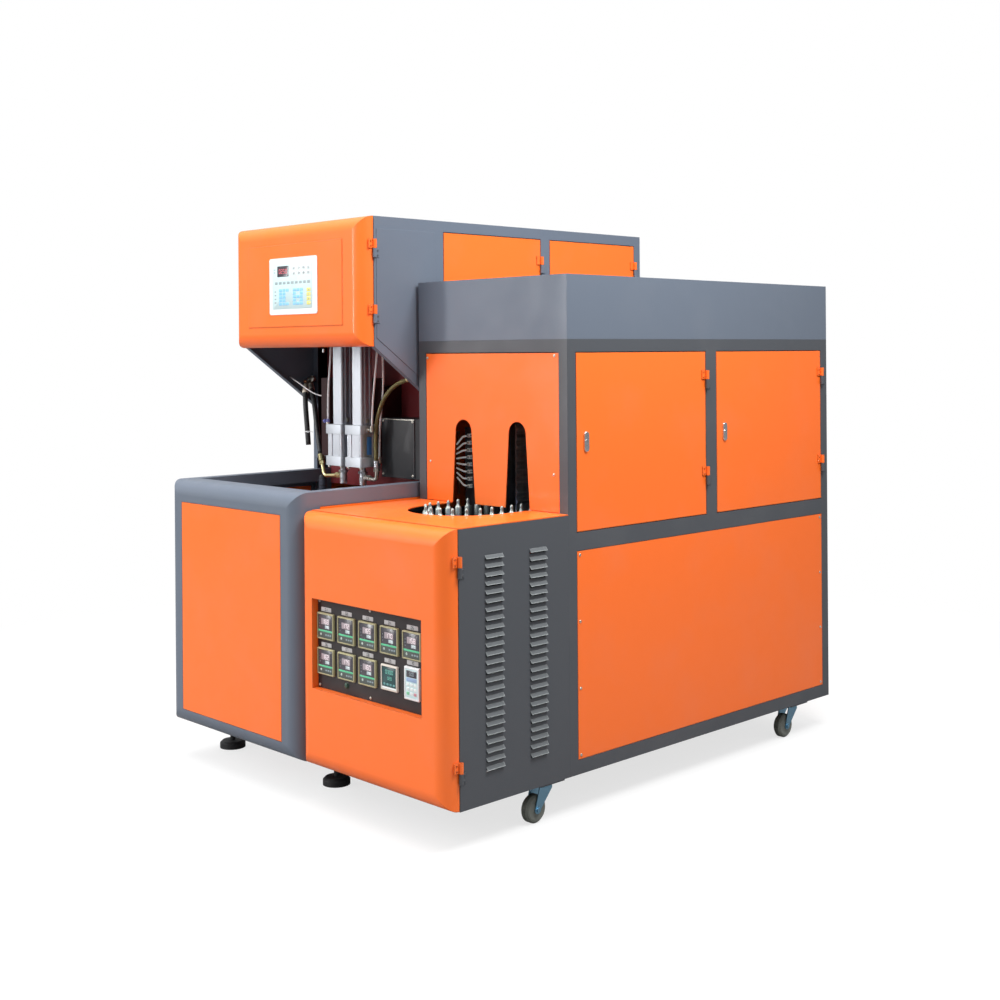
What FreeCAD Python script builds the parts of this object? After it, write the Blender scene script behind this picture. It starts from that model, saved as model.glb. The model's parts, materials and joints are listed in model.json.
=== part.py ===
import FreeCAD, Part
import math
import os

# Two-cavity blow moulding machine: the blow station cabinet stands at the left of the preform heater.
# Millimetres. While the pieces are made, x = 0 is the heater's left side, y = 0 the front of both
# cabinets and z = 0 the underside of both cabinets. Every piece is then moved so that the origin is the
# middle of the footprint on the floor.

V = FreeCAD.Vector
UP = V(0, 0, 1)
ALONG_X = V(1, 0, 0)
ALONG_Y = V(0, 1, 0)

# ---- stock and fits -------------------------------------------------------------------------------
ground_clearance = 108.0   # floor to cabinet underside
door_sheet = 2.0
cabinet_sheet = 3.0
door_gap = 2.0             # round every hinged door and screwed panel
running_fit = 0.05         # radial, on pins, rods and shafts
apart = 0.3                # between bodies that move past each other
door_fold = 20.0           # depth of a side door's folded edges
rebate_width = 15.0        # flange that a screwed panel lies on
rebate_depth = 6.0

# ---- both cabinets --------------------------------------------------------------------------------
cabinet_gap = 14.0
pan_depth = 45.0           # depth of the rounded front covers
edge_radius = 43.0         # rounding of their front edges

# ---- blow station ---------------------------------------------------------------------------------
blower_width = 663.0
blower_depth = 1487.0
blower_height = 1540.0
rim_height = 750.0
blower_bar = 40.0          # width of the base frame's bars
blower_bottom_rail = 47.0
rim_rail_height = 42.0
front_window_side = 71.0   # frame left standing beside the front panel
front_window_top = 64.0
column_front = 557.0
column_wall = 598.0        # front face of the column's front panel
column_wall_foot = 700.0
slope_foot = 962.0         # height where the head's sloping edge meets the column
edge_lip = 18.0            # folded lip along the column's and the head's lower edges
head_front = 240.0
head_bottom = 1158.0
head_stamping_side = 88.0  # margin round the head cover's raised field
head_stamping_end = 63.0
stamping_height = 2.0
keypad_width = 247.0
keypad_height = 175.0
keypad_middle = 1347.0
keypad_thickness = 1.5
column_door_front = 559.0
column_door_post = 41.0      # cabinet side left between the two column doors
column_door_rear = 31.0      # and behind the rear one
column_door_bottom = 790.0
column_door_top = 1507.0
side_stamping_front = 296.0
side_stamping_rear = 524.0
side_stamping_top = 1504.0

# ---- blowing gear ---------------------------------------------------------------------------------
cavity_pitch = 99.0
blow_axis = 465.0          # y of both blow axes and of the mould parting plane
sealing_block = 82.0       # across the sealing cylinder's caps
sealing_bottom = 782.0
sealing_height = 131.0
sealing_cap = 30.0
sealing_barrel_radius = 35.0
tie_rod_radius = 4.0
stretch_block = 53.0
stretch_height = 440.0
stretch_barrel = 47.0      # across the barrel's flats
stretch_cap = 26.0
stretch_rod_radius = 6.0
stretch_rod_tip = 732.0
stretch_rod_length = 450.0
stretch_stroke = 220.0
hollow_rod_radius = 10.0
nozzle_radius = 12.5
nozzle_bottom = 722.0
nozzle_height = 42.0
nozzle_stroke = 38.0
nozzle_port_height = 748.0
hose_radius = 8.5
braid_radius = 6.5
conduit_radius = 8.5
air_tube_radius = 3.0
signal_tube_radius = 2.0
fitting_wall = 2.5         # a hose fitting's radius over its hose
fitting_length = 23.0
pipe_radius = 5.0          # the bent pipe from a nozzle to its hose
port_radius = 9.0
push_in_radius = 5.5
push_in_length = 12.0
terminal_depth = 36.0
carrier_left_reach = 89.0    # from the left blow axis
carrier_right_reach = 44.0
carrier_bottom = 812.0
carrier_height = 248.0
carrier_thickness = 12.0
manifold_width = 44.0
manifold_depth = 60.0
valve_box_gap = 6.0          # to the right sealing cylinder
valve_box_inset = 25.0       # from the cabinet's side
valve_box_height = 185.0
valve_box_depth = 93.0
receiver_radius = 120.0
receiver_rear_room = 107.0   # behind it to the back
receiver_height = 1130.0
receiver_front = 760.0
receiver_dish = 40.0         # depth of its domed ends
saddle_inset = 124.0
saddle_width = 160.0
saddle_thickness = 12.0
silencer_radius = 13.0
silencer_top = 740.0
exhaust_valve_reach = 117.0  # from the cabinet's side
exhaust_valve_drop = 60.0    # from the silencer's top to its block

# ---- mould clamp ----------------------------------------------------------------------------------
clamp_stroke = 80.0
mould_thickness = 100.0
mould_width = 250.0
mould_bottom = 405.0
mould_top = 683.0
platen_thickness = 30.0
platen_width = 370.0
platen_bottom = 360.0
platen_height = 316.0
tie_bar_radius = 12.5
tie_bar_spread = 310.0
tie_bar_rise = 230.0
tie_bar_low = 400.0
end_plate_thickness = 25.0
end_plate_front = 90.0
clamp_cylinder_side = 120.0
clamp_cylinder_length = 135.0
clamp_rod_radius = 16.0
clamp_rod_inside = 60.0
beam_side = 40.0
beam_top = 330.0
bottle_radius = 32.0
bottle_neck_radius = 12.0
bottle_base = 460.0
bottle_shoulder = 605.0
bottle_neck_foot = 655.0

# ---- preform heater -------------------------------------------------------------------------------
heater_width = 605.0
heater_depth = 1699.0
heater_height = 1348.0
hood_seam = 1173.0
deck_height = 703.0
tower_front = 446.0
heater_bar = 31.0          # thickness of the tower frame's bars, seen from the front
front_post = 33.0
middle_post = 50.0
rear_post = 35.0
heater_bottom_rail = 39.0
middle_rail_bottom = 602.0
middle_rail_height = 49.0
top_rail_height = 35.0
first_bay = 571.0          # clear length of the oven's front door opening
floor_height = 628.0
box_rail = 30.0            # bars of the low box in front of the tower
deck_hole_radius = 158.0
slot_foot = 48.0           # half width of a slot at the deck
slot_shoulder = 33.5       # half width where its round top starts
slot_shoulder_height = 911.0
slot_panel_top = 1136.0
window_left = 62.0
window_right = 516.0
window_bottom = 225.0
window_top = 470.0
window_recess = 20.0
controller_size = 72.0
controller_depth = 70.0
controller_bezel = 7.0
controller_pitch = 90.0
controller_columns = 5
upper_row = 396.0
lower_row = 300.0
first_controller = 106.0
timer_height = 66.0
drive_keypad_width = 58.0
drive_keypad_height = 84.0
louvre_columns = (168.0, 328.0)
louvre_length = 62.0
louvre_count = 25
louvre_pitch = 22.2
louvre_first = 85.0
louvre_height = 9.0
louvre_reach = 7.0
fan_opening_radius = 125.0
fan_y = 1070.0
fan_hub_radius = 35.0
fan_hub_height = 38.0
fan_blades = 5
fan_blade_width = 58.0
fan_blade_pitch = 32.0
fan_shaft_radius = 5.0
guard_bar = 4.0

# ---- preform chain --------------------------------------------------------------------------------
chain_pitch = 38.1
sprocket_teeth = 18
rear_sprocket_room = 208.0
front_sprocket_y = 348.0
chain_rise = 20.0          # over the oven's floor
chain_width = 14.0
chain_height = 9.0
mandrel_sides = 6
mandrel_foot_radius = 13.0
mandrel_foot_height = 5.0
spindle_radius = 8.0
spindle_height = 37.0      # over the chain
mandrel_tip_radius = 4.3
mandrel_height = 60.0
guide_width = 16.0
sprocket_thickness = 6.0
tooth_clearance = 1.0      # round a spindle in a sprocket's gap
tooth_height = 4.0         # beyond the chain's pins
sprocket_window = 22.0
sprocket_shaft_radius = 14.0
gearbox_side = 120.0
gearbox_height = 130.0
motor_radius = 55.0
motor_length = 190.0
lamp_levels = 8
lamp_pitch = 21.3
lamp_rise = 41.0           # of the lowest lamp over the deck
lamp_radius = 5.0
lamp_cap_radius = 6.3
lamp_cap_length = 22.0
lamp_sides = 6
lamp_front = 520.0
lamp_rear_room = 279.0
lamp_offset = 167.0        # from the loop's middle to each row of lamps
lamp_plate_thickness = 4.0
lamp_plate_width = 40.0
reflector_offset = 52.0
reflector_front = 500.0
reflector_rear_room = 319.0
reflector_rise = 232.0
reflector_ribs = 9
reflector_rib = 5.0

# ---- hinges, locks, castors, feet -----------------------------------------------------------------
hinge_radius = 6.0
hinge_pin_radius = 3.0
hinge_half_height = 27.0
hinge_leaf = 3.0
hinge_leaf_width = 20.0
cover_hinge_inset = 95.0   # from the end of a front cover to the joint of its hinge
door_hinge_drop = 82.0     # from a side door's top to the joint of its upper hinge
door_hinge_rise = 115.0    # from its bottom to the joint of its lower hinge
lock_height = 54.0
lock_width = 18.0
lock_plate = 4.0
lock_inset = 38.0
lock_core_radius = 6.5
lock_cam_length = 47.0
lock_cam_width = 14.0
lock_cam_thickness = 3.0
lock_cam_gap = 17.0        # behind the post
castor_wheel_radius = 37.5
castor_wheel_width = 25.0
castor_wheel_corner = 5.0
castor_hub_radius = 9.0
castor_hub_reach = 2.7
castor_trail = 32.0
castor_plate = 4.0
castor_plate_length = 90.0
castor_fork_plate = 3.0
castor_crown_radius = 25.0
castor_crown = 12.0
king_pin_radius = 5.0
king_pin_rise = 16.0
castor_axle_radius = 4.0
castor_inset = 45.0
front_castor_y = 382.0
rear_castor_inset = 167.0
foot_radius = 40.0
foot_pad_height = 22.0
foot_corner = 7.0
foot_stem_radius = 8.0
foot_nut_height = 14.0
foot_inset = 62.0
front_foot_y = 185.0
rear_foot_inset = 147.0

# ---- places that follow ---------------------------------------------------------------------------
blower_right = -cabinet_gap
blower_left = blower_right - blower_width
blower_middle = (blower_left + blower_right) / 2.0
head_joint = head_front + pan_depth
head_shell_front = head_joint + door_gap
box_front = pan_depth + door_gap
blow_xs = (blower_middle - cavity_pitch / 2.0, blower_middle + cavity_pitch / 2.0)
carrier_left = blow_xs[0] - carrier_left_reach
carrier_right = blow_xs[1] + carrier_right_reach
valve_box_left = blow_xs[1] + sealing_block / 2.0 + valve_box_gap
valve_box_right = blower_right - valve_box_inset
sealing_top = sealing_bottom + sealing_height
receiver_length = blower_depth - receiver_front - receiver_rear_room
loop_middle = heater_width / 2.0
sprocket_radius = chain_pitch / (2.0 * math.sin(math.pi / sprocket_teeth))
straight_links = round((heater_depth - rear_sprocket_room - front_sprocket_y) / chain_pitch)
rear_sprocket_y = front_sprocket_y + straight_links * chain_pitch
chain_bottom = floor_height + chain_rise
lamp_lowest = deck_height + lamp_rise
lamp_length = heater_depth - lamp_front - lamp_rear_room
reflector_length = heater_depth - reflector_front - reflector_rear_room
reflector_top = deck_height + reflector_rise
rear_castor_y = heater_depth - rear_castor_inset
rear_foot_y = blower_depth - rear_foot_inset
middle_post_y = tower_front + front_post + first_bay
front_bay = (tower_front + front_post, middle_post_y)
rear_bay = (middle_post_y + middle_post, heater_depth - rear_post)
side_bay = (front_bay[0], rear_bay[1])
upper_bay = (middle_rail_bottom + middle_rail_height, hood_seam - top_rail_height)
lower_bay = (heater_bottom_rail, middle_rail_bottom)
window_frame = 2.0
hinge_reach = hinge_radius + 0.5
base_bays = ((pan_depth + 1.0 + blower_bar, column_front), (column_wall + 2.0, blower_depth - blower_bar))
base_bay_heights = (blower_bottom_rail, rim_height - rim_rail_height)
column_door_width = (blower_depth - column_door_rear - column_door_front - column_door_post) / 2.0
column_doors = [(y, y + column_door_width)
                for y in (column_door_front, column_door_front + column_door_width + column_door_post)]


def block(x0, x1, y0, y1, z0, z1):
    return Part.makeBox(x1 - x0, y1 - y0, z1 - z0, V(x0, y0, z0))


def bar(radius, start, length, direction=UP):
    """A true round bar, for hinge axes and wide curves."""
    return Part.makeCylinder(radius, length, V(*start), direction)


def turned(start, direction, levels, sides):
    """A piece of revolution through (distance, radius) levels, with flat sides to keep its mesh light."""
    turns = [2 * math.pi * k / sides for k in range(sides + 1)]
    rings = [[V(r * math.cos(t), r * math.sin(t), z) for t in turns] for z, r in levels]
    faces = [Part.Face(Part.makePolygon(rings[0])), Part.Face(Part.makePolygon(rings[-1]))]
    for low, high in zip(rings, rings[1:]):
        for k in range(sides):
            corners = [low[k], low[k + 1], high[k + 1], high[k], low[k]]
            faces.append(Part.Face(Part.makePolygon(corners)))
    solid = Part.Solid(Part.Shell(faces))
    solid = solid if solid.Volume > 0 else solid.reversed()
    solid.Placement = FreeCAD.Placement(V(*start), FreeCAD.Rotation(UP, direction))
    return solid


def small_bar(radius, start, length, direction=UP, sides=16):
    """A rod, pin or nut with flat sides. The same direction and sides line a bore up with its rod."""
    return turned(start, direction, [(0.0, radius), (length, radius)], sides)


def joined(pieces):
    whole = pieces[0].multiFuse(pieces[1:]) if len(pieces) > 1 else pieces[0]
    tidy = whole.removeSplitter()
    return tidy if tidy.isValid() else whole


def group(pieces):
    return Part.makeCompound(pieces)


def prism(outline, direction):
    corners = [V(*p) for p in outline]
    return Part.Face(Part.makePolygon(corners + corners[:1])).extrude(direction)


def frame_in_xz(x0, x1, y0, y1, z0, z1, width):
    """A picture frame that faces the front."""
    inner = block(x0 + width, x1 - width, y0 - 1, y1 + 1, z0 + width, z1 - width)
    return block(x0, x1, y0, y1, z0, z1).cut(inner)


def frame_in_yz(x0, x1, y0, y1, z0, z1, width):
    """A picture frame that faces the side."""
    inner = block(x0 - 1, x1 + 1, y0 + width, y1 - width, z0 + width, z1 - width)
    return block(x0, x1, y0, y1, z0, z1).cut(inner)


def rounded_pan(x0, x1, y0, z0, z1):
    """A folded cover, open behind, whose four front edges are rounded."""
    def body(inset, reach):
        solid = block(x0 + inset, x1 - inset, y0 + inset, y0 + pan_depth + reach, z0 + inset, z1 - inset)
        front = [e for e in solid.Edges if all(abs(v.Y - y0 - inset) < 1e-6 for v in e.Vertexes)]
        return solid.makeFillet(edge_radius - inset, front)
    return body(0, 0).cut(body(door_sheet, 1))


def hinge(face, outward, y, z, moving):
    """Half of a lift-off hinge on a side face. The moving half is the upper one; the other has the pin."""
    x = face + outward * hinge_reach
    towards = -1 if moving else 1
    low = z if moving else z - hinge_half_height
    high = z + hinge_half_height if moving else z - apart
    knuckle = small_bar(hinge_radius, (x, y, low), high - low, sides=12)
    x_in, x_out = sorted((face, face + outward * hinge_leaf))
    y_in, y_out = sorted((y, y + towards * hinge_leaf_width))
    half = joined([knuckle, block(x_in, x_out, y_in, y_out, low, high)])
    if moving:
        return half.cut(bar(hinge_pin_radius + running_fit, (x, y, low - 1), high - low + 2))
    return joined([half, small_bar(hinge_pin_radius, (x, y, low), 2 * hinge_half_height - 2, sides=12)])


def cover_hinge_heights(z0, z1):
    return (z0 + cover_hinge_inset, z1 - cover_hinge_inset)


def door_hinge_heights(z0, z1):
    return (z0 + door_hinge_rise, z1 - door_hinge_drop)


def side_door(face, outward, y0, y1, z0, z1):
    """A folded door in a side face, with its hinges at the rear edge and a lock plate at the front."""
    inner, outer = sorted((face, face - outward * door_fold))
    y0, y1, z0, z1 = y0 + door_gap, y1 - door_gap, z0 + door_gap, z1 - door_gap
    body = block(inner, outer, y0, y1, z0, z1)
    a, b = sorted((face - outward * door_sheet, face - outward * (door_fold + 1)))
    body = body.cut(block(a, b, y0 + door_sheet, y1 - door_sheet, z0 + door_sheet, z1 - door_sheet))
    halves = [hinge(face, outward, y1 + door_gap / 2, z, True) for z in door_hinge_heights(z0, z1)]
    lock_z = (z0 + z1) / 2
    a, b = sorted((face, face + outward * lock_plate))
    plate = block(a, b, y0 + lock_inset - lock_width / 2, y0 + lock_inset + lock_width / 2,
                  lock_z - lock_height / 2, lock_z + lock_height / 2)
    upright = [e for e in plate.Edges
               if abs(e.Vertexes[0].X - e.Vertexes[1].X) > 1 and e.Length < lock_plate + 1]
    plate = plate.makeFillet(lock_width / 2 - 0.5, upright)
    bore = bar(lock_core_radius + running_fit, (face - 30, y0 + lock_inset, lock_z), 60, ALONG_X)
    return joined([body, plate] + halves).cut(bore)


def lock_cam(face, outward, y0, z0, z1):
    """A lock's core with its cam, turned up, clear of the post."""
    y = y0 + door_gap + lock_inset
    z = (z0 + z1) / 2
    depth = heater_bar + lock_cam_gap
    core = bar(lock_core_radius, (face + outward * (lock_plate + 1.5), y, z),
               depth + lock_plate + 1.5 + lock_cam_thickness, ALONG_X * -outward)
    slot = block(face - 40, face + 40, y - 0.8, y + 0.8, z - 4, z + 4)
    slot = slot.common(block(face + outward * lock_plate, face + outward * 20, y - 9, y + 9, z - 9, z + 9))
    a, b = sorted((face - outward * depth, face - outward * (depth + lock_cam_thickness)))
    cam = block(a, b, y - lock_cam_width / 2, y + lock_cam_width / 2, z - lock_cam_width / 2, z + lock_cam_length)
    return joined([core, cam]).cut(slot)


def side_panel(face, outward, y0, y1, z0, z1):
    a, b = sorted((face, face - outward * door_sheet))
    return block(a, b, y0 + door_gap / 2, y1 - door_gap / 2, z0 + door_gap / 2, z1 - door_gap / 2)


def side_rebate(face, outward, y0, y1, z0, z1):
    """The flange behind a screwed side panel, from the opening's edge inwards."""
    a, b = sorted((face - outward * door_sheet, face - outward * (door_sheet + rebate_depth)))
    return frame_in_yz(a, b, y0, y1, z0, z1, rebate_width)


# ---- blow station cabinet -------------------------------------------------------------------------
front_window = (blower_left + front_window_side, blower_right - front_window_side,
                blower_bottom_rail, rim_height - front_window_top)


def blower_frame():
    x0, x1, z0, z1 = front_window
    front = rounded_pan(blower_left, blower_right, 0, 0, rim_height)
    front = front.cut(block(x0, x1, -1, 10, z0, z1))
    pieces = [front, frame_in_xz(x0 - 8, x1 + 8, door_sheet, door_sheet + 3, z0 - 8, z1 + 8, rebate_width + 8)]
    left, right = blower_left + blower_bar, blower_right - blower_bar
    back = blower_depth
    for a, b in ((blower_left, left), (right, blower_right)):
        pieces += [
            block(a, b, pan_depth, pan_depth + 1 + blower_bar, 0, rim_height),
            block(a, b, column_front, base_bays[1][0], 0, rim_height),
            block(a, b, back - blower_bar, back, 0, rim_height),
            block(a, b, pan_depth, back, 0, blower_bottom_rail),
            block(a, b, pan_depth, back, rim_height - rim_rail_height, rim_height),
        ]
    for face, outward in ((blower_left, -1), (blower_right, 1)):
        for y0, y1 in base_bays:
            pieces.append(side_rebate(face, outward, y0, y1, *base_bay_heights))
    for y in (pan_depth, back - blower_bar):
        pieces.append(block(left, right, y, y + blower_bar, 0, blower_bottom_rail))
    pieces.append(block(left, right, pan_depth, pan_depth + 1 + blower_bar, rim_height - rim_rail_height, rim_height))
    pieces.append(block(left, right, back - blower_bar, back, rim_height - rim_rail_height, rim_height))
    pieces.append(block(left, right, base_bays[1][0], back - blower_bar, rim_height - cabinet_sheet, rim_height))
    cross_top = beam_top - beam_side
    for y in (pan_depth + 1, column_front):
        pieces.append(block(left, right, y, y + beam_side, cross_top - beam_side, cross_top))
    for side in (-1, 1):
        x = blower_middle + side * tie_bar_spread / 3
        pieces.append(block(x - beam_side / 2, x + beam_side / 2, pan_depth + 1,
                            rear_end_plate() + end_plate_thickness, cross_top, beam_top))
    pieces.append(frame_in_xz(left, right, back - rebate_depth - door_sheet, back - door_sheet,
                              *base_bay_heights, rebate_width))
    return joined(pieces)


def blower_front_panel():
    x0, x1, z0, z1 = front_window
    g = door_gap / 2
    return block(x0 + g, x1 - g, 0, door_sheet, z0 + g, z1 - g)


def blower_side_panels():
    return group([
        side_panel(face, outward, y0, y1, *base_bay_heights)
        for face, outward in ((blower_left, -1), (blower_right, 1)) for y0, y1 in base_bays
    ])


def side_plate(x0):
    """A side of the column and head: the head's lower edge slopes down to the column's front."""
    outline = [(head_shell_front, head_bottom), (head_shell_front, blower_height), (blower_depth, blower_height),
               (blower_depth, rim_height), (column_front, rim_height), (column_front, slope_foot)]
    return prism([(x0, y, z) for y, z in outline], V(cabinet_sheet, 0, 0))


def head_shell():
    pieces = []
    t = cabinet_sheet
    for face, outward in ((blower_left, -1), (blower_right, 1)):
        x0 = face if outward < 0 else face - t
        plate = side_plate(x0)
        for y0, y1 in column_doors:
            plate = plate.cut(block(x0 - 1, x0 + t + 1, y0, y1, column_door_bottom, column_door_top))
        pieces.append(plate)
        a, b = sorted((face, face - outward * edge_lip))
        pieces.append(block(a, b, column_front, column_front + t, rim_height, slope_foot))
        drop = t / math.cos(math.atan2(head_bottom - slope_foot, column_front - head_shell_front))
        lip = [(head_shell_front, head_bottom), (column_front, slope_foot),
               (column_front, slope_foot + drop), (head_shell_front, head_bottom + drop)]
        pieces.append(prism([(a, y, z) for y, z in lip], V(b - a, 0, 0)))
        for y0, y1 in column_doors:
            a, b = sorted((face - outward * t, face - outward * (door_fold + 5)))
            pieces.append(frame_in_yz(a, b, y0 - t, y1 + t, column_door_bottom - t, column_door_top + t, t))
            for z in door_hinge_heights(column_door_bottom + door_gap, column_door_top - door_gap):
                pieces.append(hinge(face, outward, y1 - door_gap / 2, z, False))
        raised = [(side_stamping_front, head_bottom + 25), (side_stamping_front, side_stamping_top),
                  (side_stamping_rear, side_stamping_top), (side_stamping_rear, slope_foot + 58)]
        a = face if outward > 0 else face - 1.5
        pieces.append(prism([(a, y, z) for y, z in raised], V(1.5, 0, 0)))
    pieces.append(block(blower_left, blower_right, head_shell_front, blower_depth, blower_height - t, blower_height))
    pieces.append(frame_in_xz(blower_left, blower_right, head_shell_front, head_shell_front + t,
                              head_bottom, blower_height, edge_lip))
    pieces.append(frame_in_xz(blower_left, blower_right, blower_depth - door_sheet - rebate_depth,
                              blower_depth - door_sheet, rim_height, blower_height, 32 + rebate_width))
    pieces.append(frame_in_xz(blower_left, blower_right, blower_depth - door_sheet - rebate_depth,
                              blower_depth, rim_height, blower_height, 32))
    for z in (840.0, 1000.0):
        pieces.append(block(blower_left + t, blower_right - t, column_wall + door_sheet,
                            column_wall + door_sheet + beam_side, z, z + beam_side))
    for z in cover_hinge_heights(head_bottom, blower_height):
        pieces.append(hinge(blower_right, 1, head_joint + door_gap / 2, z, False))
    return joined(pieces)


def blower_back_panel():
    g = door_gap / 2
    y0, y1 = blower_depth - door_sheet, blower_depth
    upper = block(blower_left + 32 + g, blower_right - 32 - g, y0, y1, rim_height + 32 + g, blower_height - 32 - g)
    slots = [block(blower_middle - 120, blower_middle + 120, y0 - 1, y1 + 1, z, z + 6)
             for z in (1300.0 + 18.0 * k for k in range(8))]
    lower = block(blower_left + blower_bar + g, blower_right - blower_bar - g, y0, y1,
                  base_bay_heights[0] + g, base_bay_heights[1] - g)
    return group([upper.cut(slots), lower])


def column_front_panel():
    y0, y1 = column_wall, column_wall + door_sheet
    lining = door_fold + 5
    wide = block(blower_left + lining, blower_right - lining, y0, y1, rim_height, blower_height - cabinet_sheet)
    tongue = block(blower_left + blower_bar, blower_right - blower_bar, y0, y1, column_wall_foot, rim_height)
    return joined([wide, tongue])


def head_door():
    cover = rounded_pan(blower_left, blower_right, head_front, head_bottom, blower_height)
    raised = block(blower_left + head_stamping_side, blower_right - head_stamping_side,
                   head_front - stamping_height, head_front + door_sheet,
                   head_bottom + head_stamping_end, blower_height - head_stamping_end)
    front = [e for e in raised.Edges
             if all(abs(v.Y - head_front + stamping_height) < 1e-6 for v in e.Vertexes)]
    raised = raised.makeChamfer(stamping_height * 0.9, front)
    halves = [hinge(blower_right, 1, head_joint + door_gap / 2, z, True)
              for z in cover_hinge_heights(head_bottom, blower_height)]
    return joined([cover, raised] + halves)


def control_keypad():
    y = head_front - stamping_height
    pad = block(blower_middle - keypad_width / 2, blower_middle + keypad_width / 2, y - keypad_thickness, y,
                keypad_middle - keypad_height / 2, keypad_middle + keypad_height / 2)
    corners = [e for e in pad.Edges if e.Length < keypad_thickness + 0.1]
    return pad.makeFillet(8.0, corners)


def controller_box():
    """The mounting plate between the head's sides, with the controller's case and a row of relays."""
    t = cabinet_sheet
    y = blow_axis - stretch_block / 2 - 12
    plate = block(blower_left + t, blower_right - t, y - t, y, head_bottom + 50, blower_height - 50)
    case = block(blower_middle - 190, blower_middle + 60, y - t - 70, y - t, head_bottom + 90, blower_height - 80)
    relays = [block(blower_middle + 90 + 26 * k, blower_middle + 112 + 26 * k, y - t - 45, y - t,
                    head_bottom + 120, head_bottom + 190) for k in range(6)]
    terminals = block(blower_middle + 90, blower_middle + 242, y - t - 28, y - t, head_bottom + 235,
                      head_bottom + 270)
    high = left_tube_route[-1][2]
    valves = [block(x0, x1, y, y + terminal_depth, high, high + 28) for x0, x1 in tube_terminals()]
    return joined([plate, case, terminals] + relays + valves)


def tube_terminals():
    """The widths, in x, of the two tube terminals behind the mounting plate."""
    left = left_tube_route[-1][0]
    right = (upper_tube_route[-1][0], lower_tube_route[-1][0])
    return [(left - 14, left + 4), (min(right) - 12, max(right) + 12)]


def column_door(side, index):
    face = blower_left if side < 0 else blower_right
    y0, y1 = column_doors[index]
    return side_door(face, side, y0, y1, column_door_bottom, column_door_top)


# ---- blowing gear ---------------------------------------------------------------------------------
def cylinder_carrier():
    """The welded bracket that holds both cylinders off the column's front, with the valve manifold on it."""
    y0 = blow_axis + sealing_block / 2
    y1 = y0 + carrier_thickness
    top = carrier_bottom + carrier_height
    plate = block(carrier_left, carrier_right, y0, y1, carrier_bottom, top)
    ribs = []
    for x in (carrier_left + 10, carrier_right - 20):
        outline = [(x, y1, carrier_bottom + 15), (x, column_wall, carrier_bottom + 40),
                   (x, column_wall, top - 15), (x, y1, top - 40)]
        ribs.append(prism(outline, V(10, 0, 0)))
    shelf = block(carrier_left + 10, carrier_right - 10, y1, column_wall, top - 60, top - 50)
    manifold = block(carrier_left, carrier_left + manifold_width, y0 - manifold_depth, y0, carrier_bottom, top)
    return joined([plate, shelf, manifold] + ribs)


def sealing_cylinder(x):
    half = sealing_block / 2
    caps = [block(x - half, x + half, blow_axis - half, blow_axis + half, z, z + sealing_cap)
            for z in (sealing_bottom, sealing_top - sealing_cap)]
    caps = [c.makeChamfer(4.0, [e for e in c.Edges if abs(e.Length - sealing_cap) < 1e-6]) for c in caps]
    barrel = small_bar(sealing_barrel_radius, (x, blow_axis, sealing_bottom), sealing_height, sides=32)
    offset = half - 10
    rods = [small_bar(tie_rod_radius, (x + a * offset, blow_axis + b * offset, sealing_bottom), sealing_height,
                      sides=8) for a in (-1, 1) for b in (-1, 1)]
    bore = small_bar(hollow_rod_radius + running_fit, (x, blow_axis, sealing_bottom - 1), sealing_height + 2)
    return joined(caps + [barrel] + rods).cut(bore)


def stretch_cylinder(x):
    half = stretch_block / 2
    barrel = block(x - stretch_barrel / 2, x + stretch_barrel / 2, blow_axis - stretch_barrel / 2,
                   blow_axis + stretch_barrel / 2, sealing_top, sealing_top + stretch_height)
    upright = [e for e in barrel.Edges if abs(e.Length - stretch_height) < 1e-6]
    barrel = barrel.makeChamfer(6.0, upright)
    caps = [block(x - half, x + half, blow_axis - half, blow_axis + half, z, z + stretch_cap)
            for z in (sealing_top, sealing_top + stretch_height - stretch_cap)]
    bore = small_bar(stretch_rod_radius + running_fit, (x, blow_axis, sealing_top - 1),
                     stretch_rod_tip + stretch_rod_length - sealing_top + 6)
    return joined([barrel] + caps).cut(bore)


def stretch_rod(x):
    """A long rod with a blunt tip."""
    r = stretch_rod_radius
    return turned((x, blow_axis, stretch_rod_tip), UP,
                  [(0.0, r / 2), (r / 6, r * 5 / 6), (r / 2, r), (stretch_rod_length, r)], 16)


def heading(route):
    """The direction in which a route starts."""
    return (V(*route[1]) - V(*route[0])).normalize()


def blow_nozzle(x, hose_route, radius, side):
    """The nozzle on its hollow piston rod, with a port at its side and the bent pipe to the hose."""
    top = nozzle_bottom + nozzle_height
    body = turned((x, blow_axis, nozzle_bottom), UP,
                  [(0.0, nozzle_radius - 1.5), (1.5, nozzle_radius), (nozzle_height, nozzle_radius)], 24)
    nut = small_bar(nozzle_radius + 3, (x, blow_axis, top - 6), 8, sides=6)
    rod = small_bar(hollow_rod_radius, (x, blow_axis, top), sealing_top - 8 - top)
    along = heading(hose_route)
    foot = V(*hose_route[0]) - along * fitting_length
    corner = foot - along * ((foot.z - nozzle_port_height + 6) / along.z)
    start = V(x, blow_axis, nozzle_port_height)
    flow = (corner - start).normalize()
    pipe = [small_bar(pipe_radius, tuple(start), (corner - start).Length, flow, 12),
            small_bar(pipe_radius * 1.25, tuple(corner - flow * pipe_radius), 2 * pipe_radius, flow, 12),
            small_bar(pipe_radius, tuple(corner), (foot - corner).Length, along, 12)]
    collar = small_bar(radius + fitting_wall, tuple(foot), fitting_length, along, 12)
    port = small_bar(port_radius, tuple(start), nozzle_radius + 14, V(side, 0, 0), 6)
    bore = small_bar(stretch_rod_radius + running_fit, (x, blow_axis, nozzle_bottom - 1), sealing_top - nozzle_bottom)
    return joined([body, nut, rod, collar, port] + pipe).cut(bore)


def hung(points, start, end):
    """A cord's points, with their x moved along with the pieces that hold its two ends."""
    first, last = points[0][0], points[-1][0]
    return [(start + (x - first) * (end - start) / (last - first), y, z) for x, y, z in points]


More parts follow.
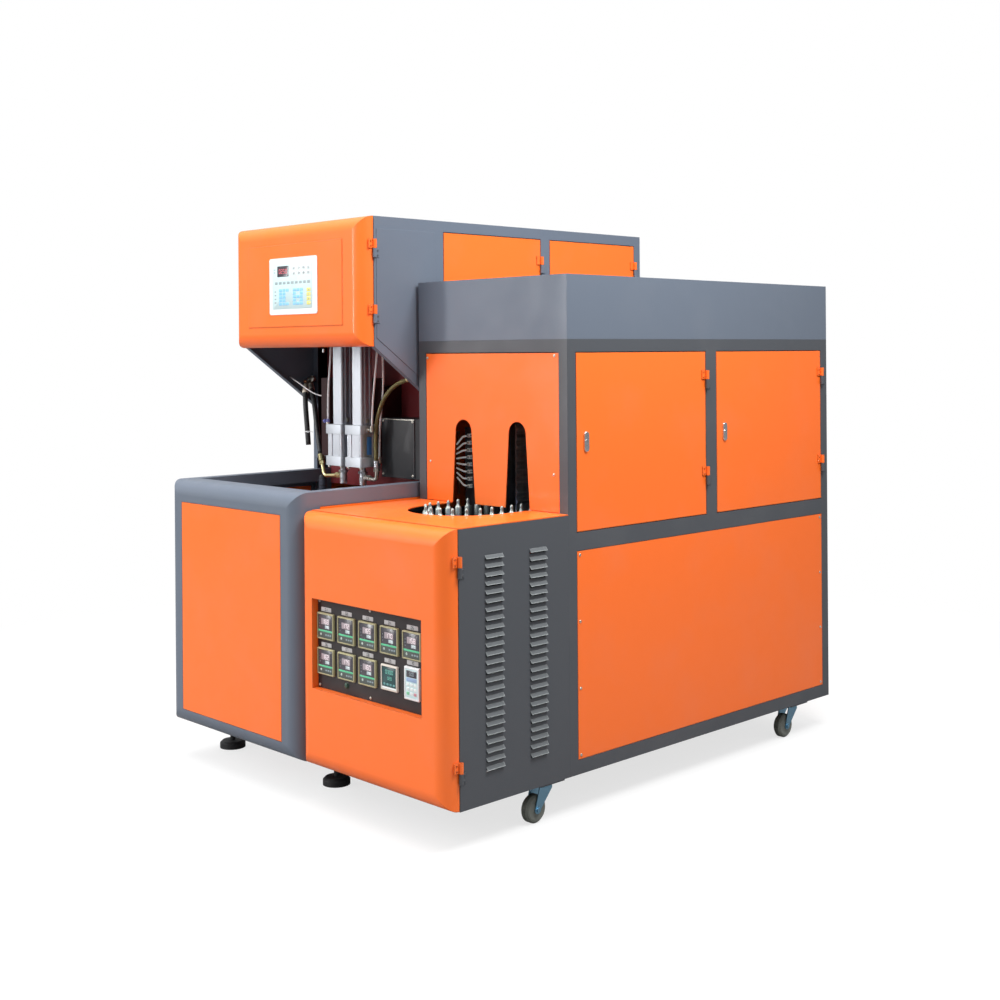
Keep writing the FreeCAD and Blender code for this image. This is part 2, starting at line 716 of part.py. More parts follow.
left_hose_route = hung([(-515, 465, 811), (-534, 468, 867), (-559, 479, 927), (-595, 499, 984), (-647, 524, 1028)],
                       blow_xs[0] - 120.0, blower_left + 30.0)
right_hose_route = hung([(-229, 465, 803), (-233, 465, 866), (-227, 467, 929), (-204, 469, 987),
                         (-160, 472, 1032), (-101, 474, 1056), (-39, 476, 1065)],
                        blow_xs[1] + 67.0, blower_right - 25.0)
conduit_route = hung([(-646, 500, 1012), (-629, 488, 972), (-617, 483, 926), (-610, 482, 880), (-608, 484, 836)],
                     blower_left + 31.0, blower_left + 69.0)
left_tube_route = hung([(-429, 430, 925), (-429, 430, 985), (-428, 434, 1060), (-426, 441, 1140), (-426, 441, 1208)],
                       blow_xs[0] - 34.0, blow_xs[0] - 31.0)
upper_tube_route = hung([(-230, 450, 911), (-230, 450, 966), (-219, 447, 1040), (-205, 443, 1112),
                         (-197, 441, 1160), (-197, 441, 1208)], blow_xs[1] + 66.0, blow_xs[1] + 99.0)
lower_tube_route = hung([(-231, 492, 812), (-231, 492, 866), (-221, 489, 938), (-206, 487, 1008),
                         (-190, 475, 1078), (-172, 453, 1152), (-172, 453, 1208)],
                        blow_xs[1] + 65.0, blow_xs[1] + 124.0)
signal_tube_route = hung([(-673, 457, 1062), (-626, 460, 1042), (-581, 464, 1019), (-534, 470, 1001),
                          (-484, 475, 998)], blower_left + 4.0, carrier_left)


def tube(route, radius, name):
    """A round tube along straight runs joined by arcs that each take what their two runs allow."""
    points = [V(*p) for p in route]
    edges = []
    start = points[0]
    radii = []
    for before, here, after in zip(points, points[1:], points[2:]):
        into, out = here - before, after - here
        turn = into.getAngle(out)
        cut_back = 0.45 * min(into.Length, out.Length)
        radii.append(cut_back / math.tan(turn / 2))
        a = here - into.normalize() * cut_back
        b = here + out.normalize() * cut_back
        middle = (a + b) * 0.5
        towards = (here - middle).normalize()
        sagitta = radii[-1] * (1 - math.cos(turn / 2))
        edges.append(Part.LineSegment(start, a).toShape())
        edges.append(Part.Arc(a, middle + towards * sagitta, b).toShape())
        start = b
    edges.append(Part.LineSegment(start, points[-1]).toShape())
    wire = Part.Wire(edges)
    ring = Part.Wire(Part.makeCircle(radius, points[0], points[1] - points[0]))
    solid = wire.makePipeShell([ring], True, False)
    share = solid.Volume / (math.pi * radius ** 2 * wire.Length)
    print(f"{name}: length {wire.Length:.0f}, least radius {min(radii):.0f} ({min(radii) / radius / 2:.1f} dia), "
          f"volume {share:.3f} of section times length")
    return solid


def wall_fitting(route, radius):
    """A bulkhead fitting that carries a route's end on into the head's side."""
    out = heading(route[::-1]) * -1
    wall = blower_left + cabinet_sheet if out.x < 0 else blower_right - cabinet_sheet
    a, b = sorted((wall, wall + math.copysign(80.0, out.x)))
    y, z = route[-1][1], route[-1][2]
    beyond = block(a, b, y - 90, y + 90, z - 90, z + 90)
    return small_bar(radius + fitting_wall, route[-1], 90.0, out, 12).cut(beyond)


def push_in(x, y, z):
    """A side port elbow on the right cylinder, turned up to meet a tube at z."""
    face = blow_xs[1] + sealing_block / 2
    arm = small_bar(push_in_radius, (face, y, z - push_in_length), x - face, ALONG_X, 8)
    return joined([arm, small_bar(push_in_radius, (x, y, z - 1.5 * push_in_length), 1.5 * push_in_length, sides=8)])


def hose_fittings():
    """The fittings that hold the ends of the hoses and tubes."""
    x, y, z = left_tube_route[0]
    fittings = [wall_fitting(left_hose_route, hose_radius), wall_fitting(right_hose_route, braid_radius),
                wall_fitting(conduit_route[::-1], conduit_radius),
                small_bar(push_in_radius, (x, y, sealing_top), z - sealing_top, sides=8)]
    return group(fittings + [push_in(*route[0]) for route in (upper_tube_route, lower_tube_route)])


def blow_air_supply():
    """The valve box on the column's front, the receiver in the column and the exhaust valve in the well."""
    box = block(valve_box_left, valve_box_right, column_wall - valve_box_depth, column_wall,
                rim_height, rim_height + valve_box_height)
    r, dish = receiver_radius, receiver_dish
    shell = [(0.0, r * 0.45), (dish * 0.3, r * 0.8), (dish, r)]
    shell += [(receiver_length - d, radius) for d, radius in reversed(shell)]
    tank = turned((blower_middle, receiver_front, receiver_height), ALONG_Y, shell, 24)
    saddles = []
    for y in (receiver_front + saddle_inset, receiver_front + receiver_length - saddle_inset - saddle_thickness):
        saddles.append(block(blower_middle - saddle_width / 2, blower_middle + saddle_width / 2, y,
                             y + saddle_thickness, rim_height, receiver_height))
    x = blower_left + exhaust_valve_reach
    low, high = silencer_top - exhaust_valve_drop - beam_side, silencer_top - exhaust_valve_drop
    stub = block(blower_left + blower_bar, x, column_front, column_front + beam_side, low, high)
    valve = block(x - beam_side, x + beam_side * 0.75, blow_axis, column_front, low, high)
    top = silencer_top - high
    rounding = silencer_radius * 0.5
    dome = [(0.0, silencer_radius), (top - 2 * rounding, silencer_radius), (top - rounding * 0.5, silencer_radius * 0.8),
            (top, silencer_radius * 0.4)]
    silencer = turned((x + 8.0, blow_axis + 35.0, high), UP, dome, 16)
    return group([box, joined([tank] + saddles), joined([stub, valve, silencer])])


# ---- mould clamp ----------------------------------------------------------------------------------
def front_platen_y():
    """Front face of the front platen with the mould open."""
    return blow_axis - clamp_stroke - mould_thickness - platen_thickness


def rear_platen_y():
    return blow_axis + clamp_stroke + mould_thickness


def rear_end_plate():
    return 2 * blow_axis - end_plate_front - end_plate_thickness


def tie_bar_places():
    return [(blower_middle + side * tie_bar_spread / 2, tie_bar_low + rise)
            for side in (-1, 1) for rise in (0, tie_bar_rise)]


clamp_axis_height = tie_bar_low + tie_bar_rise / 2


def clamp_frame():
    """Two end plates on the base beams, the four tie bars between them and a clamp cylinder on each plate."""
    pieces = []
    half = platen_width / 2
    top = platen_bottom + platen_height
    for y, face, direction in ((end_plate_front, end_plate_front + end_plate_thickness, 1),
                               (rear_end_plate(), rear_end_plate(), -1)):
        pieces.append(block(blower_middle - half, blower_middle + half, y, y + end_plate_thickness, beam_top, top))
        y0, y1 = sorted((face, face + direction * clamp_cylinder_length))
        h = clamp_cylinder_side / 2
        body = block(blower_middle - h, blower_middle + h, y0, y1, clamp_axis_height - h, clamp_axis_height + h)
        pieces.append(body.makeChamfer(10.0, [e for e in body.Edges if abs(e.Length - clamp_cylinder_length) < 1e-6]))
    for x, z in tie_bar_places():
        pieces.append(small_bar(tie_bar_radius, (x, end_plate_front, z), rear_end_plate() - end_plate_front, ALONG_Y))
    whole = joined(pieces)
    bores = []
    for face, direction in ((end_plate_front + end_plate_thickness, 1), (rear_end_plate(), -1)):
        bores.append(small_bar(clamp_rod_radius + running_fit, (blower_middle, face, clamp_axis_height),
                               clamp_cylinder_length + 1, V(0, direction, 0)))
    return whole.cut(bores)


def platen(y, towards):
    """A sliding platen on the tie bars, with its piston rod. The rod points away from the mould."""
    half = platen_width / 2
    plate = block(blower_middle - half, blower_middle + half, y, y + platen_thickness,
                  platen_bottom, platen_bottom + platen_height)
    plate = plate.cut([small_bar(tie_bar_radius + running_fit, (x, y - 1, z), platen_thickness + 2, ALONG_Y)
                       for x, z in tie_bar_places()])
    face = y if towards < 0 else y + platen_thickness
    cylinder_nose = (end_plate_front + end_plate_thickness + clamp_cylinder_length if towards < 0
                     else rear_end_plate() - clamp_cylinder_length)
    gap = abs(face - cylinder_nose)
    rod = small_bar(clamp_rod_radius, (blower_middle, face, clamp_axis_height), gap + clamp_cylinder_length - 8,
                    V(0, towards, 0))
    return joined([plate, rod])


def bottle_blank(x, y):
    """The bottle's outer form, with its neck running out of the mould's top."""
    r, n, h = bottle_radius, bottle_neck_radius, bottle_base
    levels = [(0.0, r - 6), (8.0, r), (50.0, r), (60.0, r - 3), (bottle_shoulder - 40 - h, r - 3),
              (bottle_shoulder - 30 - h, r), (bottle_shoulder - h, r), (bottle_neck_foot - h, n), (mould_top + 1 - h, n)]
    return turned((x, y, h), UP, levels, 24)


def mould_half(y, parting):
    half = mould_width / 2
    body = block(blower_middle - half, blower_middle + half, y, y + mould_thickness, mould_bottom, mould_top)
    return body.cut([bottle_blank(x, parting) for x in blow_xs])


# ---- preform heater cabinet -----------------------------------------------------------------------
def sides_of_heater():
    return ((0.0, -1), (heater_width, 1))


def heater_frame():
    pieces = []
    w, t = heater_width, cabinet_sheet
    for a, b in ((0, heater_bar), (w - heater_bar, w)):
        pieces += [
            block(a, b, tower_front, front_bay[0], 0, hood_seam),
            block(a, b, front_bay[1], rear_bay[0], middle_rail_bottom, hood_seam),
            block(a, b, rear_bay[1], heater_depth, 0, hood_seam),
            block(a, b, tower_front, heater_depth, 0, heater_bottom_rail),
            block(a, b, tower_front, heater_depth, *rail_heights()),
            block(a, b, tower_front, heater_depth, upper_bay[1], hood_seam),
        ]
    for face, outward in sides_of_heater():
        pieces.append(side_rebate(face, outward, *side_bay, *lower_bay))
    for bay in (front_bay, rear_bay):
        pieces.append(side_rebate(0.0, -1, *bay, *upper_bay))
    for z0, z1 in ((0, heater_bottom_rail), (floor_height - 40, floor_height), (upper_bay[1], hood_seam)):
        pieces.append(block(heater_bar, w - heater_bar, tower_front, front_bay[0], z0, z1))
    for z0, z1 in ((0, heater_bottom_rail), rail_heights(), (upper_bay[1], hood_seam)):
        pieces.append(block(heater_bar, w - heater_bar, rear_bay[1], heater_depth, z0, z1))
    for z0, z1 in (lower_bay, upper_bay):
        pieces.append(frame_in_xz(heater_bar, w - heater_bar, heater_depth - door_sheet - rebate_depth,
                                  heater_depth - door_sheet, z0, z1, rebate_width))
    panel_back = tower_front + 1 + door_sheet
    pieces += [block(a, b, panel_back, panel_back + rebate_depth, deck_height, upper_bay[1])
               for a, b in ((heater_bar, heater_bar + rebate_width),
                            (w - heater_bar - rebate_width, w - heater_bar))]
    pieces.append(block(heater_bar, w - heater_bar, box_front + 10, rear_bay[1], floor_height, floor_height + t))
    pieces.append(chain_guide())
    pieces += low_box_bars() + castor_plates() + heater_hinges()
    sockets = [bar(king_pin_radius + running_fit, (x, y, -castor_plate - 1), castor_plate + king_pin_rise)
               for x, y in castor_places()]
    return joined(pieces).cut(sockets)


def rail_heights():
    return (middle_rail_bottom, middle_rail_bottom + middle_rail_height)


def low_box_bars():
    """The frame of the low box in front of the tower, under the deck and between the louvred sides."""
    w, t = heater_width, cabinet_sheet
    top = deck_height - t
    bars = [frame_in_xz(0, w, box_front, box_front + t, 0, top, box_rail)]
    for a, b in ((t, heater_bar), (w - heater_bar, w - t)):
        bars += [
            block(a, b, box_front, box_front + box_rail, 0, top),
            block(a, b, box_front, tower_front, 0, box_rail),
            block(a, b, box_front, tower_front, top - box_rail, top),
            block(a, b, box_front, tower_front, floor_height - 12, floor_height + t),
        ]
    return bars


def castor_places():
    return [(x, y) for y in (front_castor_y, rear_castor_y)
            for x in (castor_inset, heater_width - castor_inset)]


def castor_plates():
    half = castor_plate_length / 2
    plates = []
    for x, y in castor_places():
        plates.append(block(x - half + 2, x + half - 2, y - half, y + half, -castor_plate, 0))
    for y in (front_castor_y, rear_castor_y):
        plates.append(block(cabinet_sheet, heater_width - cabinet_sheet, y - 20, y + 20, 0, 20))
    return plates


def heater_hinges():
    halves = [hinge(heater_width, 1, y1 - door_gap / 2, z, False)
              for y0, y1 in (front_bay, rear_bay)
              for z in door_hinge_heights(upper_bay[0] + door_gap, upper_bay[1] - door_gap)]
    halves += [hinge(heater_width, 1, pan_depth + door_gap / 2, z, False) for z in cover_hinge_heights(*front_door_span)]
    return halves


front_door_span = (2.0, deck_height - 2.0)


def chain_guide():
    """The wear strip that the chain runs on."""
    return chain_loop(guide_width, floor_height + cabinet_sheet, chain_bottom - apart)


def heater_hood():
    t = cabinet_sheet
    w = heater_width
    outer = block(0, w, tower_front, heater_depth, hood_seam, heater_height)
    outer = outer.cut(block(t, w - t, tower_front + t, heater_depth - t, hood_seam - 1, heater_height - t))
    lip = block(0, w, tower_front, heater_depth, hood_seam, hood_seam + t)
    lip = lip.cut(block(heater_bar, w - heater_bar, tower_front + heater_bar, heater_depth - heater_bar,
                        hood_seam - 1, hood_seam + t + 1))
    hole = bar(fan_opening_radius, (loop_middle, fan_y, heater_height - 20), 40)
    shell = joined([outer, lip]).cut(hole)
    z = heater_height - t
    rings = []
    for k in range(1, 3):
        r = fan_opening_radius * k / 3
        inside = small_bar(r - guard_bar / 2, (loop_middle, fan_y, z - 1), t + 2, sides=24)
        rings.append(small_bar(r + guard_bar / 2, (loop_middle, fan_y, z), t, sides=24).cut(inside))
    for k in range(4):
        spoke = block(-fan_opening_radius - 1, fan_opening_radius + 1, -guard_bar / 2, guard_bar / 2, z, z + t)
        spoke.rotate(V(0, 0, 0), UP, 45 * k)
        spoke.translate(V(loop_middle, fan_y, 0))
        rings.append(spoke)
    motor = small_bar(fan_hub_radius - 5, (loop_middle, fan_y, z - 12), 12 + t, sides=24)
    shaft = small_bar(fan_shaft_radius, (loop_middle, fan_y, z - 36), 30, sides=12)
    return joined([shell, motor, shaft] + rings)


def exhaust_fan():
    top = heater_height - cabinet_sheet - 12 - apart
    hub = small_bar(fan_hub_radius, (loop_middle, fan_y, top - fan_hub_height), fan_hub_height, sides=24)
    blades = []
    for k in range(fan_blades):
        reach = fan_opening_radius - 10 - fan_hub_radius + 8
        blade = block(0, reach, -fan_blade_width / 2, fan_blade_width / 2, -1, 1)
        blade.rotate(V(0, 0, 0), ALONG_X, fan_blade_pitch)
        blade.translate(V(fan_hub_radius - 8, 0, top - fan_hub_height / 2))
        blade.rotate(V(0, 0, 0), UP, 360.0 * k / fan_blades)
        blade.translate(V(loop_middle, fan_y, 0))
        blades.append(blade)
    bore = bar(fan_shaft_radius + running_fit, (loop_middle, fan_y, top - 26), 27)
    return joined([hub] + blades).cut(bore)


def louvred_side(face, outward):
    """A side of the low box, with two columns of pressed louvres that open downwards."""
    t = cabinet_sheet
    a, b = sorted((face, face - outward * t))
    sheet = block(a, b, box_front + t, tower_front, 0, deck_height - t)
    slots, hoods = [], []
    for y in louvre_columns:
        for k in range(louvre_count):
            z = louvre_first + k * louvre_pitch
            y0, y1 = y - louvre_length / 2, y + louvre_length / 2
            slots.append(block(a - 1, b + 1, y0 + 2, y1 - 2, z - louvre_height / 2, z))
            outline = [(face, y0, z + louvre_height), (face + outward * louvre_reach, y0, z), (face, y0, z)]
            hoods.append(prism(outline, V(0, y1 - y0, 0)))
    return sheet.cut(slots).multiFuse(hoods)


def heater_deck():
    t = cabinet_sheet
    sheet = block(0, heater_width, box_front, tower_front, deck_height - t, deck_height)
    hole = joined([
        bar(deck_hole_radius, (loop_middle, front_sprocket_y, deck_height - 10), 20),
        block(loop_middle - deck_hole_radius, loop_middle + deck_hole_radius, front_sprocket_y, tower_front + 1,
              deck_height - 10, deck_height + 10),
    ])
    return sheet.cut(hole)


def tapered_slot(x):
    y0 = tower_front - 5
    z0 = deck_height - 5
    outline = [(x - slot_foot, y0, z0), (x + slot_foot, y0, z0), (x + slot_shoulder, y0, slot_shoulder_height),
               (x - slot_shoulder, y0, slot_shoulder_height)]
    return joined([prism(outline, V(0, 20, 0)), bar(slot_shoulder, (x, y0, slot_shoulder_height), 20, ALONG_Y)])


def slot_panel():
    y0 = tower_front + 1
    g = door_gap / 2
    panel = block(heater_bar + g, heater_width - heater_bar - g, y0, y0 + door_sheet, deck_height + 0.5, slot_panel_top)
    return panel.cut([tapered_slot(loop_middle + side * sprocket_radius) for side in (-1, 1)])


def heater_front_door():
    low, high = front_door_span
    cover = rounded_pan(0, heater_width, 0, low, high)
    recess = window_recess + door_sheet
    walls = block(window_left - window_frame, window_right + window_frame, 0, recess,
                  window_bottom - window_frame, window_top + window_frame)
    opening = block(window_left, window_right, -5, recess + 5, window_bottom, window_top)
    halves = [hinge(heater_width, 1, pan_depth + door_gap / 2, z, True) for z in cover_hinge_heights(low, high)]
    return joined([cover, walls] + halves).cut(opening)


def control_plate():
    g = 0.5
    return block(window_left + g, window_right - g, window_recess, window_recess + door_sheet,
                 window_bottom + g, window_top - g).cut(instrument_bodies())


def instrument_places():
    """Middle, width and height of every instrument: two rows, the last two of the lower row differ."""
    places = []
    for k in range(controller_columns):
        places.append((first_controller + k * controller_pitch, upper_row, controller_size, controller_size))
    for k in range(controller_columns - 2):
        places.append((first_controller + k * controller_pitch, lower_row, controller_size, controller_size))
    k = controller_columns - 2
    places.append((first_controller + k * controller_pitch, lower_row, timer_height, timer_height))
    places.append((first_controller + (k + 1) * controller_pitch, lower_row, drive_keypad_width, drive_keypad_height))
    return places


def instrument_bodies():
    return [block(x - w / 2 + 4, x + w / 2 - 4, window_recess - 1, window_recess + 20, z - h / 2 + 4, z + h / 2 - 4)
            for x, z, w, h in instrument_places()]


def control_instruments():
    """Panel instruments: a bezel in front of the plate and a case behind it."""
    made = []
    for x, z, w, h in instrument_places():
        bezel = block(x - w / 2, x + w / 2, window_recess - controller_bezel, window_recess, z - h / 2, z + h / 2)
        front = [e for e in bezel.Edges
                 if all(abs(v.Y - window_recess + controller_bezel) < 1e-6 for v in e.Vertexes)]
        bezel = bezel.makeChamfer(2.5, front)
        depth = controller_depth if w > drive_keypad_width else 20.0
        case = block(x - w / 2 + 4, x + w / 2 - 4, window_recess, window_recess + depth, z - h / 2 + 4, z + h / 2 - 4)
        made.append(joined([bezel, case]))
    return group(made)


def electrical_panel():
    """The back plate of the low box, with its rows of contactors, relays and terminals."""
    y = tower_front
    t = cabinet_sheet
    plate = block(heater_bar - 20, heater_width - heater_bar + 20, y - t, y, box_rail + 10, floor_height - 45)
    parts = [plate]
    for row, (z, h, w, count, depth) in enumerate(((480.0, 60.0, 44.0, 9, 60.0), (360.0, 80.0, 58.0, 7, 75.0),
                                                   (240.0, 70.0, 36.0, 11, 50.0), (130.0, 40.0, 460.0, 1, 35.0))):
        pitch = w + 4
        start = heater_width / 2 - pitch * count / 2
        parts += [block(start + pitch * k, start + pitch * k + w, y - t - depth, y - t, z, z + h)
                  for k in range(count)]
    return joined(parts)


def oven_door(bay):
    return side_door(heater_width, 1, *bay, *upper_bay)


def oven_lock_cam(bay):
    return lock_cam(heater_width, 1, bay[0], *upper_bay)


def heater_back_panel():
    g = door_gap / 2
    y0, y1 = heater_depth - door_sheet, heater_depth
    made = []
    for z0, z1 in (lower_bay, upper_bay):
        made.append(block(heater_bar + g, heater_width - heater_bar - g, y0, y1, z0 + g, z1 - g))
    slots = [block(loop_middle - 110, loop_middle + 110, y0 - 1, y1 + 1, z, z + 6)
             for z in (120.0 + 18.0 * k for k in range(8))]
    return group([made[0].cut(slots), made[1]])


# ---- preform chain --------------------------------------------------------------------------------
def chain_pins():
    """Pin centres round the whole loop, one pitch apart."""
    pins = []
    step = 360.0 / sprocket_teeth
    for k in range(sprocket_teeth // 2):
        a = math.radians(180 + step * k)
        pins.append((loop_middle + sprocket_radius * math.cos(a), front_sprocket_y + sprocket_radius * math.sin(a)))
    for k in range(straight_links):
        pins.append((loop_middle + sprocket_radius, front_sprocket_y + chain_pitch * k))
    for k in range(sprocket_teeth // 2):
        a = math.radians(step * k)
        pins.append((loop_middle + sprocket_radius * math.cos(a), rear_sprocket_y + sprocket_radius * math.sin(a)))
    for k in range(straight_links):
        pins.append((loop_middle - sprocket_radius, rear_sprocket_y - chain_pitch * k))
    return pins


def mandrel(x, y):
    """A preform mandrel: a foot on the chain, a spindle and a tapered tip."""
    levels = [(0.0, mandrel_foot_radius), (mandrel_foot_height, spindle_radius),
              (spindle_height, spindle_radius), (mandrel_height, mandrel_tip_radius)]
    return turned((x, y, chain_bottom + chain_height), UP, levels, mandrel_sides)


def chain_loop(width, low, high):
    """A strip along the chain's own line: two straight runs and a half turn round each sprocket."""
    def filled(radius):
        straight = block(loop_middle - radius, loop_middle + radius, front_sprocket_y, rear_sprocket_y, low, high)
        ends = [bar(radius, (loop_middle, y, low), high - low) for y in (front_sprocket_y, rear_sprocket_y)]
        return joined([straight] + ends)
    return filled(sprocket_radius + width / 2).cut(filled(sprocket_radius - width / 2))


def preform_chain():
    """The endless chain, with a preform mandrel standing on every pin."""
    strip = chain_loop(chain_width, chain_bottom, chain_bottom + chain_height)
    return strip.multiFuse([mandrel(x, y) for x, y in chain_pins()])


def sprocket(y):
    """A toothed wheel whose gaps take the chain's spindles, on its shaft."""
    z = chain_bottom + chain_height + mandrel_foot_height + apart
    step = 2 * math.pi / sprocket_teeth
    valley = sprocket_radius - spindle_radius - tooth_clearance
    tip = sprocket_radius + tooth_height
    half_gap = math.asin((spindle_radius + tooth_clearance) / sprocket_radius)
    outline = []
    for k in range(sprocket_teeth):
        for turn, radius in ((-half_gap, valley), (half_gap, valley), (half_gap * 1.2, tip),
                             (step - half_gap * 1.2, tip)):
            angle = k * step + turn
            outline.append((loop_middle + radius * math.cos(angle), y + radius * math.sin(angle), z))
    wheel = prism(outline, V(0, 0, sprocket_thickness))
    reach = (sprocket_shaft_radius + valley) / 2
    windows = []
    for k in range(4):
        angle = math.pi / 4 + k * math.pi / 2
        middle = (loop_middle + reach * math.cos(angle), y + reach * math.sin(angle), z - 1)
        windows.append(small_bar(sprocket_window, middle, sprocket_thickness + 2))
    low = floor_height + cabinet_sheet
    shaft = small_bar(sprocket_shaft_radius, (loop_middle, y, low), z + sprocket_thickness + 8 - low)
    return joined([wheel.cut(windows), shaft])


def chain_gearmotor():
    """Both sprockets, and the gearmotor that hangs under the floor at the rear one."""
    y, x = rear_sprocket_y, loop_middle
    h = gearbox_side / 2
    top = floor_height
    gearbox = block(x - h, x + h, y - h, y + h, top - gearbox_height, top)
    motor = small_bar(motor_radius, (x, y, top - gearbox_height - motor_length), motor_length, sides=24)
    return group([sprocket(front_sprocket_y), sprocket(rear_sprocket_y), joined([gearbox, motor])])


def lamp_row(side):
    """Eight lamps one above the other between two upright holders, with their leads to a terminal strip."""
    x = loop_middle + side * lamp_offset
    low = floor_height + cabinet_sheet
    y0, y1 = lamp_front, lamp_front + lamp_length
    top = lamp_lowest + lamp_pitch * (lamp_levels - 1) + 24
    half = lamp_plate_width / 2
    pieces = [block(x - half, x + half, y, y + lamp_plate_thickness, low, top)
              for y in (y0 + 10, y1 - 10 - lamp_plate_thickness)]
    a, b = sorted((x + side * 24, x + side * 26))
    pieces.append(block(a, b, y0 + 10, y1 - 10, low, top))
    a, b = sorted((x + side * half, x + side * 26))
    pieces += [block(a, b, y, y + lamp_plate_thickness, low, top) for y in (y0 + 10, y1 - 10 - lamp_plate_thickness)]
    for k in range(lamp_levels):
        z = lamp_lowest + k * lamp_pitch
        pieces.append(turned((x, y0, z), ALONG_Y, [
            (0.0, lamp_cap_radius), (lamp_cap_length, lamp_cap_radius), (lamp_cap_length + 1, lamp_radius),
            (lamp_length - lamp_cap_length - 1, lamp_radius), (lamp_length - lamp_cap_length, lamp_cap_radius),
            (lamp_length, lamp_cap_radius)], lamp_sides))
    return joined(pieces)


def reflector(side):
    """A ribbed aluminium reflector on the inner side of one run of preforms."""
    x = loop_middle + side * reflector_offset
    low = floor_height + cabinet_sheet
    y0, y1 = reflector_front, reflector_front + reflector_length
    a, b = sorted((x, x - side * 3))
    pieces = [block(a, b, y0, y1, low, reflector_top)]
    foot = deck_height
    step = (reflector_top - foot) / reflector_ribs
    for k in range(reflector_ribs):
        z = foot + step * k
        outline = [(x, y0, z + 4), (x + side * reflector_rib, y0, z + step / 2), (x, y0, z + step - 4)]
        pieces.append(prism(outline, V(0, y1 - y0, 0)))
    return joined(pieces)


# ---- castors and feet -----------------------------------------------------------------------------
def castor_fork(x, y):
    """Crown, king pin, two cheeks and the axle. The wheel trails towards the front."""
    top = -castor_plate - apart
    crown = small_bar(castor_crown_radius, (x, y, top - castor_crown), castor_crown, sides=24)
    pin = small_bar(king_pin_radius, (x, y, top - 1), castor_plate + 14)
    wheel_y = y - castor_trail
    wheel_z = castor_wheel_radius - ground_clearance
    gap = castor_wheel_width / 2 + 3
    cheeks = []
    for side in (-1, 1):
        a, b = sorted((x + side * gap, x + side * (gap + castor_fork_plate)))
        r = 11.0
        outline = [(a, y - 22, top - 2), (a, y + 22, top - 2), (a, y + 22, top - 18),
                   (a, wheel_y + r, wheel_z), (a, wheel_y - r, wheel_z)]
        cheeks.append(joined([prism(outline, V(b - a, 0, 0)),
                              small_bar(r, (a, wheel_y, wheel_z), castor_fork_plate, ALONG_X)]))
    axle = small_bar(castor_axle_radius, (x - gap - 6, wheel_y, wheel_z), 2 * gap + 12, ALONG_X, 12)
    heads = [small_bar(castor_axle_radius + 3, (x + s * (gap + castor_fork_plate), wheel_y, wheel_z), 4, V(s, 0, 0), 6)
             for s in (-1, 1)]
    return joined([crown, pin, axle] + cheeks + heads)


def castor_wheel(x, y):
    wheel_y = y - castor_trail
    wheel_z = castor_wheel_radius - ground_clearance
    half = castor_wheel_width / 2
    r, corner = castor_wheel_radius, castor_wheel_corner
    tread = turned((x - half, wheel_y, wheel_z), ALONG_X, [
        (0.0, r - corner), (corner, r), (castor_wheel_width - corner, r), (castor_wheel_width, r - corner)], 32)
    reach = half + castor_hub_reach
    hub = small_bar(castor_hub_radius, (x - reach, wheel_y, wheel_z), 2 * reach, ALONG_X)
    bore = bar(castor_axle_radius + running_fit, (x - 40, wheel_y, wheel_z), 80, ALONG_X)
    return joined([tread, hub]).cut(bore)


def levelling_feet():
    feet = []
    for x in (blower_left + foot_inset, blower_right - foot_inset):
        for y in (front_foot_y, rear_foot_y):
            stem = foot_stem_radius
            foot = turned((x, y, -ground_clearance), UP, [
                (0.0, foot_radius), (foot_pad_height - foot_corner, foot_radius),
                (foot_pad_height, foot_radius - foot_corner), (foot_pad_height + 1, stem),
                (ground_clearance, stem)], 24)
            nut = small_bar(stem * 1.7, (x, y, -foot_nut_height), foot_nut_height, sides=6)
            seat = block(x - foot_radius, x + foot_radius, y - foot_radius, y + foot_radius, -6, 0)
            feet.append(joined([foot, nut, seat]))
    return group(feet)


